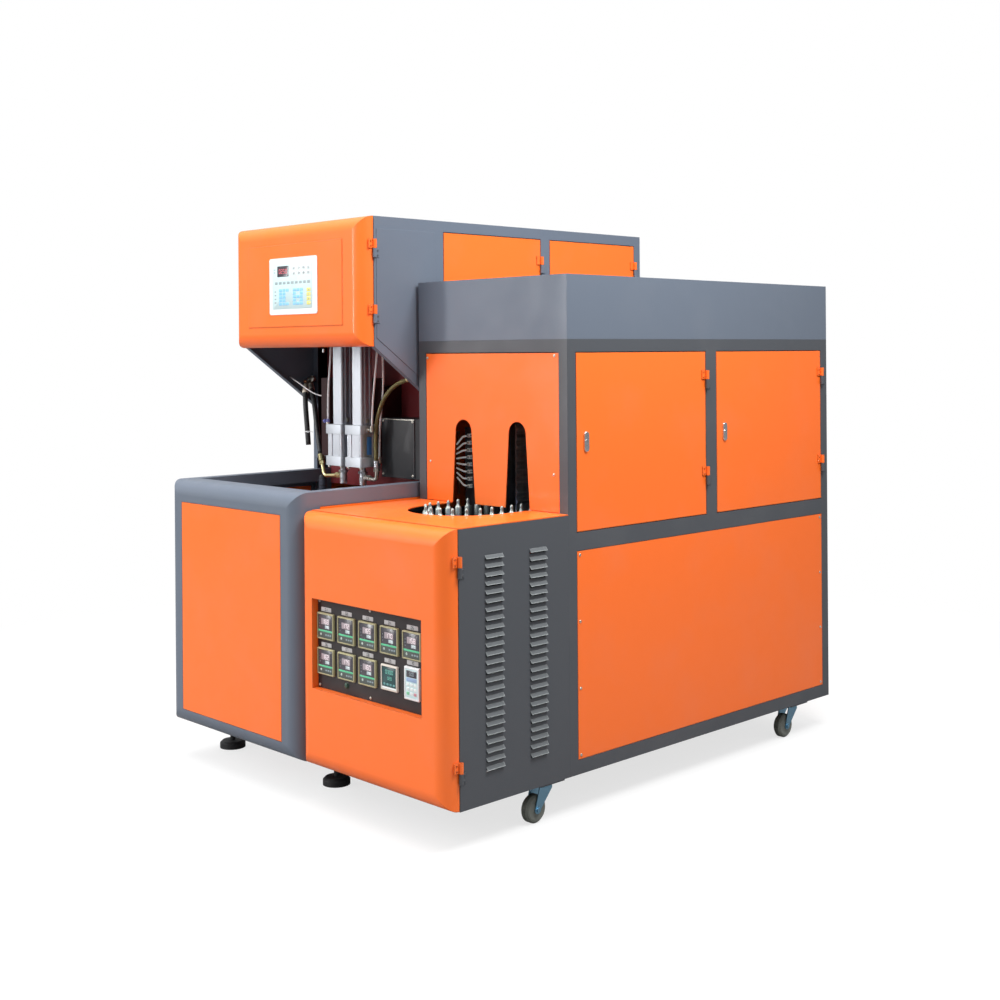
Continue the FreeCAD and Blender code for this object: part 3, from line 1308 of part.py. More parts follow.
def all_pieces():
    pieces = {
        "blower_frame": blower_frame(),
        "blower_front_panel": blower_front_panel(),
        "blower_side_panels": blower_side_panels(),
        "head_shell": head_shell(),
        "blower_back_panel": blower_back_panel(),
        "column_front_panel": column_front_panel(),
        "head_door": head_door(),
        "control_keypad": control_keypad(),
        "controller_box": controller_box(),
        "left_column_door_front": column_door(-1, 0),
        "left_column_door_rear": column_door(-1, 1),
        "right_column_doors": group([column_door(1, 0), column_door(1, 1)]),
        "cylinder_carrier": cylinder_carrier(),
        "sealing_cylinders": group([sealing_cylinder(x) for x in blow_xs]),
        "stretch_cylinders": group([stretch_cylinder(x) for x in blow_xs]),
        "stretch_rod_left": stretch_rod(blow_xs[0]),
        "stretch_rod_right": stretch_rod(blow_xs[1]),
        "blow_nozzle_left": blow_nozzle(blow_xs[0], left_hose_route, hose_radius, -1),
        "blow_nozzle_right": blow_nozzle(blow_xs[1], right_hose_route, braid_radius, 1),
        "blow_hose_left": tube(left_hose_route, hose_radius, "left hose"),
        "blow_hose_right": tube(right_hose_route, braid_radius, "right hose"),
        "air_tubes": group([tube(left_tube_route, air_tube_radius, "left tube"),
                            tube(upper_tube_route, air_tube_radius, "upper tube"),
                            tube(lower_tube_route, air_tube_radius, "lower tube"),
                            tube(signal_tube_route, signal_tube_radius, "signal tube")]),
        "cable_conduit": tube(conduit_route, conduit_radius, "conduit"),
        "hose_fittings": hose_fittings(),
        "blow_air_supply": blow_air_supply(),
        "clamp_frame": clamp_frame(),
        "front_platen": platen(front_platen_y(), -1),
        "rear_platen": platen(rear_platen_y(), 1),
        "mould_front_half": mould_half(blow_axis - clamp_stroke - mould_thickness, blow_axis - clamp_stroke),
        "mould_rear_half": mould_half(blow_axis + clamp_stroke, blow_axis + clamp_stroke),
        "levelling_feet": levelling_feet(),
        "heater_frame": heater_frame(),
        "heater_hood": heater_hood(),
        "louvred_side_left": louvred_side(0.0, -1),
        "louvred_side_right": louvred_side(heater_width, 1),
        "heater_deck": heater_deck(),
        "slot_panel": slot_panel(),
        "heater_front_door": heater_front_door(),
        "control_plate": control_plate(),
        "control_instruments": control_instruments(),
        "electrical_panel": electrical_panel(),
        "oven_door_front": oven_door(front_bay),
        "oven_door_rear": oven_door(rear_bay),
        "lock_cam_front": oven_lock_cam(front_bay),
        "lock_cam_rear": oven_lock_cam(rear_bay),
        "heater_side_panels": group([side_panel(heater_width, 1, *side_bay, *lower_bay),
                                     side_panel(0.0, -1, *side_bay, *lower_bay),
                                     side_panel(0.0, -1, *front_bay, *upper_bay),
                                     side_panel(0.0, -1, *rear_bay, *upper_bay)]),
        "heater_back_panel": heater_back_panel(),
        "preform_chain": preform_chain(),
        "chain_gearmotor": chain_gearmotor(),
        "lamp_banks": group([lamp_row(-1), lamp_row(1)]),
        "reflectors": group([reflector(-1), reflector(1)]),
        "exhaust_fan": exhaust_fan(),
    }
    for k, (x, y) in enumerate(castor_places()):
        name = ("front_left", "front_right", "rear_left", "rear_right")[k]
        pieces[f"castor_fork_{name}"] = castor_fork(x, y)
        pieces[f"castor_wheel_{name}"] = castor_wheel(x, y)
    return pieces


def origin_shift():
    """From the making frame to the origin in the middle of the footprint, on the floor."""
    depth = max(blower_depth, heater_depth)
    return V(-(blower_left + heater_width) / 2, -depth / 2, ground_clearance)


def main():
    os.makedirs("parts", exist_ok=True)
    pieces = all_pieces()
    shift = origin_shift()
    print(f"shift {shift.x:.3f} {shift.y:.3f} {shift.z:.3f}")
    for name, shape in pieces.items():
        shape.translate(shift)
        shape.exportStep(f"parts/{name}.step")


if __name__ == "__main__":
    main()
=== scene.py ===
import json
import math

import bmesh
import bpy
from mathutils import Matrix, Vector

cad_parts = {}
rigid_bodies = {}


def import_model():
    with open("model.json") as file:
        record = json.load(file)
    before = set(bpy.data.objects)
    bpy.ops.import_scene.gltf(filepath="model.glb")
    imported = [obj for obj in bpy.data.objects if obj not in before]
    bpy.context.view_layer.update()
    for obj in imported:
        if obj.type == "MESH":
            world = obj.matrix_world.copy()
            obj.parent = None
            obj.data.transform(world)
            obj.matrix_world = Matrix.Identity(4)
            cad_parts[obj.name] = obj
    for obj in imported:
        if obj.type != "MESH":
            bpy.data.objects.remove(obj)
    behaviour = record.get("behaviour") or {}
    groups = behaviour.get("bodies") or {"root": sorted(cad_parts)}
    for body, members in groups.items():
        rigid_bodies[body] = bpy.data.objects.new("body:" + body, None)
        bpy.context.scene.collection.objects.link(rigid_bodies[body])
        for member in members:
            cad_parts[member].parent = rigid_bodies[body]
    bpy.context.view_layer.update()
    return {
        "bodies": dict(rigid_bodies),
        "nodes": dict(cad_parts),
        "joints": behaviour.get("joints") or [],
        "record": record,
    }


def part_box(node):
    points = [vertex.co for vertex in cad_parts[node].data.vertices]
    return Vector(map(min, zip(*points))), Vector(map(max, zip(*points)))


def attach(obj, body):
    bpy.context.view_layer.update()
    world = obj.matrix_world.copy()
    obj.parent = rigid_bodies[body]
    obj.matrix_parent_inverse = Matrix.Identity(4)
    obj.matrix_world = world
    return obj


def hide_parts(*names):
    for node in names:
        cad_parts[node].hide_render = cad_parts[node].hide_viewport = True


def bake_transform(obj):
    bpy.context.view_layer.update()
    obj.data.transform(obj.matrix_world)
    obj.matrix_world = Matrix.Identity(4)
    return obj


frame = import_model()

bl_info = {
    "name": "Blow moulding machine dressing",
    "version": (1, 0, 0),
    "blender": (4, 5, 0),
    "location": "3D View > Sidebar > Blow moulder",
    "description": "Dresses a two-cavity bottle blowing machine and its preform oven",
    "category": "Object",
}


# ---------------------------------------------------------------- places

SHIFT = (36.0, -849.5, 108.0)      # from the drawing's origin to the frame's, in millimetres
UP, RIGHT, BACK = Vector((0, 0, 1)), Vector((1, 0, 0)), Vector((0, 1, 0))


def at(x, y, z):
    """A point of the maker's drawing, in millimetres, as a point of the frame."""
    return Vector([(part + shift) / 1000 for part, shift in zip((x, y, z), SHIFT)])


def drawn(point):
    """A point of the frame as a point of the maker's drawing, in millimetres."""
    return [part * 1000 - shift for part, shift in zip(point, SHIFT)]


BLOWER_LEFT, BLOWER_RIGHT, BLOWER_DEPTH = -677.0, -14.0, 1487.0
BLOW_XS, BLOW_Y = (-395.0, -296.0), 465.0
NOZZLE_FOOT, NOZZLE_PORT = 722.0, 748.0
SEALING_FOOT, SEALING_BODY, SEALING_TOP, TIE_ROD_OFFSET = 782.0, 811.0, 883.0, 31.0
STRETCH_FOOT, STRETCH_CAP, STRETCH_TOP = 913.0, 1327.0, 1353.0
VALVE_BOX_X, VALVE_BOX_FACE, VALVE_BOX_Z = -169.0, 505.0, 841.0

LEFT_HOSE = [(-515, 465, 811), (-534, 468, 867), (-559, 479, 927), (-595, 499, 984), (-647, 524, 1028)]
RIGHT_HOSE = [(-229, 465, 803), (-233, 465, 866), (-227, 467, 929), (-204, 469, 987), (-160, 472, 1032),
              (-101, 474, 1056), (-39, 476, 1065)]
CONDUIT = [(-646, 500, 1012), (-629, 488, 972), (-617, 483, 926), (-610, 482, 880), (-608, 484, 836)]
LEFT_TUBE = [(-429, 430, 925), (-429, 430, 985), (-428, 434, 1060), (-426, 441, 1140), (-426, 441, 1208)]
UPPER_TUBE = [(-230, 450, 911), (-228, 450, 966), (-214, 447, 1040), (-198, 443, 1112), (-190, 441, 1160),
              (-190, 441, 1208)]
LOWER_TUBE = [(-237, 485, 812), (-237, 485, 866), (-227, 482, 938), (-212, 480, 1008), (-196, 469, 1078),
              (-178, 450, 1152), (-176, 450, 1208)]
SIGNAL_TUBE = [(-673, 457, 1062), (-626, 460, 1042), (-581, 464, 1019), (-534, 470, 1001), (-484, 475, 998)]

HEAD_HINGE_Y, HEAD_HINGE_HEIGHTS = 286.0, (1253.0, 1445.0)
COLUMN_HINGE_YS, COLUMN_HINGE_HEIGHTS = (986.0, 1455.0), (907.0, 1423.0)
COLUMN_LOCK_YS, COLUMN_LOCK_HEIGHT = (599.0, 1068.0), 1148.5
HEATER_WIDTH, HEATER_DEPTH, LOOP_MIDDLE = 605.0, 1699.0, 302.5
FRONT_HINGE_Y, FRONT_HINGE_HEIGHTS = 46.0, (97.0, 606.0)
OVEN_HINGE_YS, OVEN_HINGE_HEIGHTS = (1049.0, 1663.0), (768.0, 1054.0)
OVEN_LOCK_YS, OVEN_LOCK_HEIGHT = (519.0, 1140.0), 894.5
CHAIN_TOP, CHAIN_PITCH, SPROCKET_TEETH, STRAIGHT_LINKS, FRONT_SPROCKET_Y = 657.0, 38.1, 18, 30, 348.0
SPROCKET_RADIUS = CHAIN_PITCH / (2 * math.sin(math.pi / SPROCKET_TEETH))
LAMP_OFFSET, LAMP_FRONT, LAMP_LOWEST, LAMP_PITCH, LAMP_LEVELS = 167.0, 520.0, 744.0, 21.3, 8
LAMP_REAR, LEAD_REACH = HEATER_DEPTH - 279.0, -44.0
CASTOR_XS, CASTOR_YS, CASTOR_TRAIL, WHEEL_RADIUS, FLOOR = (45.0, 560.0), (382.0, 1532.0), 32.0, 37.5, -108.0

TURN, SHARP_ANGLE = 2 * math.pi, math.radians(32)


# ---------------------------------------------------------------- finishes

class Reading:
    """A shader value that arithmetic can be written on."""

    def __init__(self, finish, socket):
        self.finish, self.socket = finish, socket

    def maths(self, operation, *terms):
        return self.finish.node("ShaderNodeMath", {"operation": operation}, dict(enumerate(terms)))

    def __add__(self, other):
        return self.maths("ADD", self, other)

    __radd__ = __add__

    def __mul__(self, other):
        return self.maths("MULTIPLY", self, other)

    __rmul__ = __mul__

    def __sub__(self, other):
        return self.maths("SUBTRACT", self, other)

    def __rsub__(self, other):
        return self.maths("SUBTRACT", other, self)

    def __pow__(self, other):
        return self.maths("POWER", self, other)

    def or_more(self, other):
        return self.maths("MAXIMUM", self, other)

    def sine(self):
        return self.maths("SINE", self)


class Finish:
    """One material: a Principled shader, with the nodes that feed it."""

    def __init__(self, name, colour, roughness, **constants):
        self.material = bpy.data.materials.new(name)
        self.material.use_nodes = True
        self.tree = self.material.node_tree
        self.shader = self.tree.nodes["Principled BSDF"]
        self.shader.inputs["Base Color"].default_value = (*colour, 1.0)
        self.shader.inputs["Roughness"].default_value = roughness
        for socket, value in constants.items():
            self.shader.inputs[socket.replace("_", " ")].default_value = value
        self.material.diffuse_color = (*colour, 1.0)

    def node(self, kind, settings, values, output=0):
        """Adds a node: its settings first, then the values or links of its sockets."""
        made = self.tree.nodes.new(kind)
        for key, value in settings.items():
            setattr(made, key, value)
        for key, value in values.items():
            self.feed(made.inputs[key], value)
        return Reading(self, made.outputs[output])

    def feed(self, socket, value):
        if isinstance(value, Reading):
            self.tree.links.new(value.socket, socket)
        elif hasattr(value, "__len__") and len(value) == 3 and socket.type == "RGBA":
            socket.default_value = (*value, 1.0)
        else:
            socket.default_value = value

    def place(self, stretch=(1.0, 1.0, 1.0)):
        spot = self.node("ShaderNodeTexCoord", {}, {}, "Object")
        if stretch == (1.0, 1.0, 1.0):
            return spot
        return self.node("ShaderNodeMapping", {}, {"Vector": spot, "Scale": stretch})

    def axes(self):
        spot = self.place()
        return [self.node("ShaderNodeSeparateXYZ", {}, {"Vector": spot}, k) for k in range(3)]

    def noise(self, scale, detail=2.0, roughness=0.5, stretch=(1.0, 1.0, 1.0)):
        return self.node("ShaderNodeTexNoise", {}, {"Vector": self.place(stretch), "Scale": scale,
                                                   "Detail": detail, "Roughness": roughness})

    def cells(self, scale, output="Distance"):
        return self.node("ShaderNodeTexVoronoi", {}, {"Vector": self.place(), "Scale": scale}, output)

    def facing(self, axis):
        """How far the surface looks along an axis of its piece, the same in every pose."""
        look = self.node("ShaderNodeTexCoord", {}, {}, "Normal")
        return self.node("ShaderNodeSeparateXYZ", {}, {"Vector": look}, axis)

    def mapped(self, axis):
        """The tube's own map: axis 0 goes round it, and axis 1 along it in metres."""
        return self.node("ShaderNodeSeparateXYZ", {}, {"Vector": self.node("ShaderNodeUVMap", {}, {})}, axis)

    def between(self, value, low, high, to_low=0.0, to_high=1.0):
        return self.node("ShaderNodeMapRange", {}, {"Value": value, "From Min": low, "From Max": high,
                                                   "To Min": to_low, "To Max": to_high})

    def mix(self, amount, first, second):
        return self.node("ShaderNodeMix", {"data_type": "RGBA"}, {0: amount, 6: first, 7: second}, 2)

    def edges(self, radius):
        """1 on sharp edges, 0 on flats, and the normal of edges rounded to that radius."""
        soft = self.node("ShaderNodeBevel", {"samples": 4}, {"Radius": radius})
        flat = self.node("ShaderNodeNewGeometry", {}, {}, "True Normal")
        agree = self.node("ShaderNodeVectorMath", {"operation": "DOT_PRODUCT"}, {0: soft, 1: flat}, "Value")
        return self.between(agree, 0.995, 0.86), soft

    def bump(self, height, distance, strength=1.0, normal=None):
        values = {"Height": height, "Distance": distance, "Strength": strength}
        if normal is not None:
            values["Normal"] = normal
        return self.node("ShaderNodeBump", {}, values)

    def coat(self, tone, cloud, smooth, rough, grain, depth, strength=0.5, normal=None):
        """Colour, a roughness that drifts with the cloud, and a fine grain."""
        return self.wear(Base_Color=tone, Roughness=self.between(cloud, 0.3, 0.7, smooth, rough),
                         Normal=self.bump(self.noise(grain, 2.0), depth, strength, normal))

    def wear(self, **sockets):
        for socket, value in sockets.items():
            self.feed(self.shader.inputs[socket.replace("_", " ")], value)
        return self.material


def linear(hexed):
    """A screen colour as the shader's own linear one."""
    parts = [int(hexed[k:k + 2], 16) / 255 for k in (0, 2, 4)]
    return tuple(c / 12.92 if c <= 0.04045 else ((c + 0.055) / 1.055) ** 2.4 for c in parts)


def shade(colour, amount):
    return tuple(min(1.0, c * amount) for c in colour)


CLOUD, PEEL = 14.0, 420.0          # how fine the clouding and the orange peel of sprayed paint are


def powder_coat(name, colour, roughness, peel=0.00012, gloss=0.35, seam_shade=0.0):
    """Sprayed paint: fine orange peel and a breath of dust. Its edges get a painted highlight that also
    stands for slight wear, or, for the paints with a seam value, painted shade along the edges where gloss
    paint meets a joint.
    """
    f = Finish(name, colour, roughness, Specular_IOR_Level=0.25, Coat_Weight=gloss, Coat_Roughness=0.06)
    edge, soft = f.edges(0.004 if seam_shade else 0.0016)
    cloud = f.noise(CLOUD, 3.0)
    dust = f.between(f.noise(5.0, 5.0), 0.5, 0.8)
    tone = f.mix(cloud * 0.12, colour, shade(colour, 0.88))
    tone = f.mix(dust * 0.05, tone, (0.36, 0.35, 0.34))
    # Painted light on the edges: painted shade where a seam value is given, otherwise a painted highlight
    # that also stands for slight edge wear.
    tone = f.mix(edge * max(seam_shade, 0.12), tone, shade(colour, 0.3) if seam_shade else shade(colour, 1.3))
    return f.coat(tone, cloud, roughness - 0.06, roughness + 0.08, PEEL, peel, normal=soft)


def louvred_paint(name, colour):
    """The same paint on pressed louvres, whose upper slopes and ridges are painted paler: a painted highlight
    for light falling from above.
    """
    f = Finish(name, colour, 0.42, Specular_IOR_Level=0.3)
    lit_slope = f.between(f.facing(2), 0.15, 0.6)
    edge, _ = f.edges(0.003)
    cloud = f.noise(CLOUD, 3.0)
    tone = f.mix(cloud * 0.12, colour, shade(colour, 0.88))
    # Painted highlight: faces that look up are made paler, and their upper edges paler still.
    tone = f.mix(lit_slope * 0.22, tone, linear("8c9292"))
    tone = f.mix(edge * lit_slope * 0.8, tone, linear("a8aeae"))
    return f.coat(tone, cloud, 0.36, 0.5, PEEL, 0.00018)


def inside_shaded_paint(name, colour, inner_shade, axis, way):
    """Powder coat outside, and painted shade, a dark colour, on the face that looks into the machine."""
    f = Finish(name, colour, 0.4, Specular_IOR_Level=0.25, Coat_Weight=0.35, Coat_Roughness=0.06)
    cloud = f.noise(CLOUD, 3.0)
    outside = f.mix(cloud * 0.1, colour, shade(colour, 0.9))
    # Painted shade: the face that looks into the machine gets the dark colour.
    tone = f.mix(f.between(f.facing(axis) * way, 0.4, 0.6), outside, inner_shade)
    return f.coat(tone, cloud, 0.34, 0.48, PEEL, 0.00012)


def brushed_metal(name, colour, roughness, stretch, scratches=0.00006, tint=0.93):
    """Rolled or brushed metal: fine lines one way, cloudy sheen and brighter rubbed edges."""
    f = Finish(name, colour, roughness, Metallic=1.0)
    edge, soft = f.edges(0.0008)
    lines = f.noise(900.0, 3.0, 0.6, stretch)
    cloud = f.noise(11.0, 4.0)
    tone = f.mix(f.between(cloud, 0.3, 0.75), shade(colour, tint), shade(colour, 1.04))
    tone = f.mix(f.between(lines, 0.4, 0.7) * 0.28, tone, shade(colour, 0.7))
    tone = f.mix(edge * 0.4, tone, shade(colour, 1.25))
    rough = f.between(lines, 0.3, 0.7, roughness - 0.06, roughness + 0.1) + cloud * 0.06
    return f.wear(Base_Color=tone, Roughness=rough, Normal=f.bump(lines, scratches, 0.6, soft))


def zinc_plate(name, colour):
    """Galvanised sheet: pale crystals of different lightness."""
    f = Finish(name, colour, 0.42, Metallic=0.85)
    edge, soft = f.edges(0.001)
    flake = f.node("ShaderNodeSeparateColor", {}, {"Color": f.cells(70.0, "Color")})
    cloud = f.noise(6.0, 4.0)
    tone = f.mix(flake * 0.5 + cloud * 0.3, shade(colour, 0.82), shade(colour, 1.1))
    return f.wear(Base_Color=f.mix(edge * 0.3, tone, shade(colour, 1.2)),
                  Roughness=f.between(flake, 0.0, 1.0, 0.34, 0.5),
                  Normal=f.bump(f.noise(300.0, 3.0), 0.00008, 0.5, soft))


def moulded(name, colour, roughness, grain=900.0, depth=0.00008):
    """Moulded plastic or rubber with a fine grain, rubbed paler on edges."""
    f = Finish(name, colour, roughness)
    edge, soft = f.edges(0.001)
    dust = f.between(f.noise(24.0, 4.0), 0.45, 0.8)
    tone = f.mix(dust * 0.18, colour, f.mix(0.5, colour, (0.35, 0.34, 0.33)))
    tone = f.mix(edge * 0.3, tone, f.mix(0.3, colour, (0.6, 0.6, 0.6)))
    return f.coat(tone, f.noise(40.0, 3.0), roughness - 0.06, roughness + 0.08, grain, depth, 0.6, soft)


def braid(name):
    """Woven steel wire over a hose, read from the tube's own map."""
    f = Finish(name, linear("a89f84"), 0.42, Metallic=0.55)
    around, along = f.mapped(0) * 12.0, f.mapped(1) * 260.0        # wires round the hose, and in a metre
    weave = ((around + along) * TURN).sine().or_more(((around - along) * TURN).sine())
    # Painted highlight on the crests of the wires and painted shade between them.
    tone = f.mix(f.between(weave, 0.1, 1.0), linear("1c1a14"), linear("a39763"))
    return f.wear(Base_Color=f.mix(f.noise(90.0, 3.0) * 0.2, tone, linear("5c523a")),
                  Roughness=f.between(weave, 0.0, 1.0, 0.6, 0.35), Normal=f.bump(weave, 0.0004, 0.8))


def clear_tube(name, colour):
    """Soft clear air tube with a milky wall."""
    f = Finish(name, colour, 0.18, Transmission_Weight=0.2, IOR=1.45)
    haze = f.noise(60.0, 3.0)
    return f.coat(f.mix(haze * 0.5, colour, shade(colour, 0.82)), haze, 0.12, 0.32, 240.0, 0.0001, 0.4)


def ribbed_hose(name, colour, roughness, rings):
    """Rubber hose: so many cloth marks in a metre, and a breath of dust."""
    f = Finish(name, colour, roughness)
    ring = (f.mapped(1) * (TURN * rings)).sine()
    dust = f.between(f.noise(50.0, 4.0), 0.5, 0.8)
    tone = f.mix(dust * 0.2, colour, (0.22, 0.21, 0.20))
    rough = f.between(f.noise(35.0, 3.0), 0.3, 0.7, roughness - 0.08, roughness + 0.08)
    return f.wear(Base_Color=tone, Roughness=rough,
                  Normal=f.bump(ring + f.noise(500.0, 2.0) * 0.5, 0.00018, 0.6))


def glowing(name, colour, glow, strength):
    """Lit figures behind a tinted window: a dark pane whose light comes through in fine dots. The lamp caps
    and their lead sleeves use it too, as painted light.
    """
    f = Finish(name, colour, 0.25, Emission_Strength=strength)
    dots = f.between(f.cells(2600.0), 0.15, 0.5, 1.0, 0.75)
    return f.wear(Emission_Color=f.mix(dots, shade(glow, 0.7), glow),
                  Roughness=f.between(dots, 0.0, 1.0, 0.2, 0.35))


def glazed(name, colour, roughness):
    """Glossy ceramic or glass with faint clouding and a soft skin."""
    f = Finish(name, colour, roughness, Coat_Weight=0.1, Coat_Roughness=0.2)
    cloud = f.noise(45.0, 4.0)
    tone = f.mix(f.between(cloud, 0.35, 0.7) * 0.35, colour, shade(colour, 0.75))
    return f.coat(tone, cloud, roughness - 0.05, roughness + 0.1, 300.0, 0.00004)


def sintered(name, colour):
    """Pressed bronze or steel balls, as on a silencer."""
    f = Finish(name, colour, 0.55, Metallic=0.5)
    balls = f.cells(900.0)
    # Painted shade in the gaps between the balls, and a painted highlight on their tops.
    return f.wear(Base_Color=f.mix(f.between(balls, 0.1, 0.6), shade(colour, 1.3), shade(colour, 0.5)),
                  Roughness=f.between(balls, 0.0, 0.6, 0.45, 0.7), Normal=f.bump(1.0 - balls, 0.0006, 0.8))


def floor_finish(name):
    """A pale floor that keeps the machine's soft shadow near it and runs into the white backdrop."""
    f = Finish(name, (0.6, 0.6, 0.6), 0.9)
    x, y, _ = f.axes()
    reach = (x * x + y * y) ** 0.5
    seen = f.node("ShaderNodeLightPath", {}, {}, "Is Camera Ray")
    pale = f.mix(f.noise(2.0, 2.0) * 0.03, (0.96, 0.96, 0.96), (0.92, 0.92, 0.92))
    f.wear(Base_Color=f.mix(seen, (0.3, 0.3, 0.3), pale))
    glow = f.node("ShaderNodeEmission", {}, {"Color": (1.0, 1.0, 1.0), "Strength": 1.0}, "Emission")
    shown = f.node("ShaderNodeMixShader", {}, {0: seen * f.between(reach, 1.2, 3.0, 0.72, 1.0)}, 0)
    mixer = shown.socket.node
    f.tree.links.new(f.shader.outputs[0], mixer.inputs[1])
    f.tree.links.new(glow.socket, mixer.inputs[2])
    f.tree.links.new(shown.socket, f.tree.nodes["Material Output"].inputs["Surface"])
    return f.material


# Each maker's finishes with its facts, in the order that it takes them. A colour is a paint of the settings,
# or hex.
RECIPES = {
    powder_coat: {        # colour, roughness, peel, gloss, painted shade along the edges
        "orange_paint": ("orange", 0.4, 0.00012, 0.35, 0.6),
        "grey_paint": ("grey", 0.42, 0.00018, 0.1),
        # Painted shade: the darker copy of the grey paint.
        "slate_paint": ("slate", 0.42, 0.00018, 0.05),
        "black_paint": ("2c2d30", 0.5, 0.00012, 0.02),
        "carrier_paint": ("301416", 0.5, 0.00012, 0.02),
        # Painted shade: the column's front wall is orange, and this dark red stands for the shade it sits in.
        "maroon_paint": ("7c3034", 0.4, 0.00012, 0.05),
        "plate_black": ("332f30", 0.5, 0.00012, 0.02),
    },
    louvred_paint: {        # colour
        "louvre_paint": ("slate",),
    },
    inside_shaded_paint: {        # colour, painted shade of the inner face, axis and way of the inner face
        "back_paint": ("orange", "181214", 1, -1.0),
        "left_door_paint": ("orange", "181214", 0, 1.0),
    },
    moulded: {        # colour, roughness, grain, its depth
        "keypad_film": ("dde3e3", 0.4, 400.0, 0.00003),
        "black_rubber": ("26272a", 0.62),
        "black_plastic": ("1d1e21", 0.42),
        "white_nylon": ("e2e4e6", 0.45),
        "violet_nylon": ("6a6fb4", 0.35),
        "pale_field": ("c4dcde", 0.4, 400.0, 0.00002),
        "grey_print": ("8b9aa0", 0.45, 400.0, 0.00002),
        "sky_key": ("86c6ea", 0.38, 400.0, 0.00003),
        "yellow_key": ("dcd46a", 0.38, 400.0, 0.00003),
        "khaki_case": ("a8a27c", 0.45),
        "mint_band": ("5cc493", 0.4),
        "blue_band": ("8fa6c8", 0.4),
        "green_print": ("7cc49a", 0.4),
        "red_print": ("c98a94", 0.4),
        "blue_label": ("3f7fc4", 0.35),
        "cream_plug": ("e8dccb", 0.4),
        "grey_key": ("94a4a8", 0.4, 400.0, 0.00003),
        "white_print": ("eceeee", 0.5, 400.0, 0.00002),
        "pale_print": ("b9c8bf", 0.45, 400.0, 0.00002),
        "box_paint": ("45474a", 0.55, 500.0, 0.00004),
        "label_print": ("b6b3b4", 0.5, 400.0, 0.00002),
        "slate_band": ("4c5450", 0.4, 400.0, 0.00002),
        "pale_case": ("d8cfc4", 0.4),
        "teal_key": ("5d9a9a", 0.4, 400.0, 0.00003),
        "grey_rubber": ("63665f", 0.55),
        "wheel_grey": ("6c6f69", 0.5),
    },
    zinc_plate: {        # colour
        "zinc_sheet": ("a4a8ad",),
    },
    brushed_metal: {        # colour, roughness, stretch of the lines, their depth, tint
        "blue_zinc": ("7ba4bc", 0.32, (1.0, 1.0, 0.2)),
        "bright_steel": ("d4d6da", 0.26, (0.15, 1.0, 1.0)),
        "aluminium": ("d0d3da", 0.46, (1.0, 1.0, 0.06)),
        "anodised": ("d2d5dc", 0.36, (1.0, 1.0, 0.04), 0.00002, 0.97),
        "brass": ("dcd2a0", 0.3, (1.0, 1.0, 0.3)),
        "copper": ("d89a78", 0.3, (1.0, 1.0, 0.3)),
        "nickel": ("c8c4ba", 0.3, (1.0, 0.2, 1.0)),
        "khaki_steel": ("a39c78", 0.4, (1.0, 1.0, 0.3)),
        "cast_cap": ("c2c6cc", 0.52, (1.0, 1.0, 1.0), 0.0001),
        "chain_steel": ("8f9298", 0.35, (1.0, 1.0, 1.0)),
        "mandrel_steel": ("aab2ae", 0.48, (0.2, 0.2, 1.0)),
        "sprocket_steel": ("7fa4d4", 0.4, (1.0, 1.0, 0.2)),
        "bright_chrome": ("e4e6ea", 0.18, (1.0, 1.0, 0.4)),
    },
    braid: {
        "braided_hose": (),
    },
    clear_tube: {        # colour
        "clear_tube": ("f8f6f8",),
    },
    ribbed_hose: {        # colour, roughness, marks in a metre
        "hose_rubber": ("202124", 0.36, 160.0),
        "conduit_rubber": ("2a2b2e", 0.5, 230.0),
    },
    glazed: {        # colour, roughness
        "dark_window": ("46434a", 0.2),
        "teal_pane": ("274a4c", 0.2),
        "quartz": ("45464a", 0.12),
        "pilot_lens": ("2f4a3c", 0.2),
        "rose_pane": ("a3959b", 0.3),
        "white_pane": ("aab6ba", 0.3),
    },
    glowing: {        # colour, light, strength
        "teal_figures": ("2f5f5a", "6fc0ac", 0.7),
        "rose_figures": ("c9bcc0", "ece2e6", 0.45),
        "white_figures": ("c8d2d4", "eef6f6", 0.55),
        "red_figures": ("8a3a40", "d8606c", 0.8),
        # The lamp caps and their lead sleeves glow though they are no lamps: painted light that stands for
        # light inside the oven.
        "ceramic": ("dfe4df", "8c928e", 0.25),
        "lead_sleeve": ("e6e6e0", "a8a8a4", 0.45),
    },
    sintered: {        # colour
        "silencer_bronze": ("565c6c",),
    },
    floor_finish: {
        "floor": (),
    },
}
FINISHES = {}


def colour_of(value):
    """A paint of the settings by its name, or a screen colour by its hex digits."""
    paints = bpy.context.scene.blow_paint
    return tuple(getattr(paints, value)) if hasattr(paints, value) else linear(value)


def finish(name):
    """The finish of that name, made once."""
    if name not in FINISHES:
        make, facts = next((make, rows[name]) for make, rows in RECIPES.items() if name in rows)
        FINISHES[name] = make(name, *[colour_of(fact) if isinstance(fact, str) else fact for fact in facts])
    return FINISHES[name]


# ---------------------------------------------------------------- meshes

def new_piece(name, mesh_or_bm, material, body):
    """Puts a mesh in the scene as a finished piece that rides on its body."""
    if isinstance(mesh_or_bm, bmesh.types.BMesh):
        mesh = bpy.data.meshes.new(name)
        mesh_or_bm.to_mesh(mesh)
        mesh_or_bm.free()
    else:
        mesh = mesh_or_bm
    piece = bpy.data.objects.new(name, mesh)
    bpy.context.scene.collection.objects.link(piece)
    for one in material if isinstance(material, (list, tuple)) else [material]:
        mesh.materials.append(finish(one))
    if body:
        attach(piece, body)
    return piece


HOSE_SIDES = 20


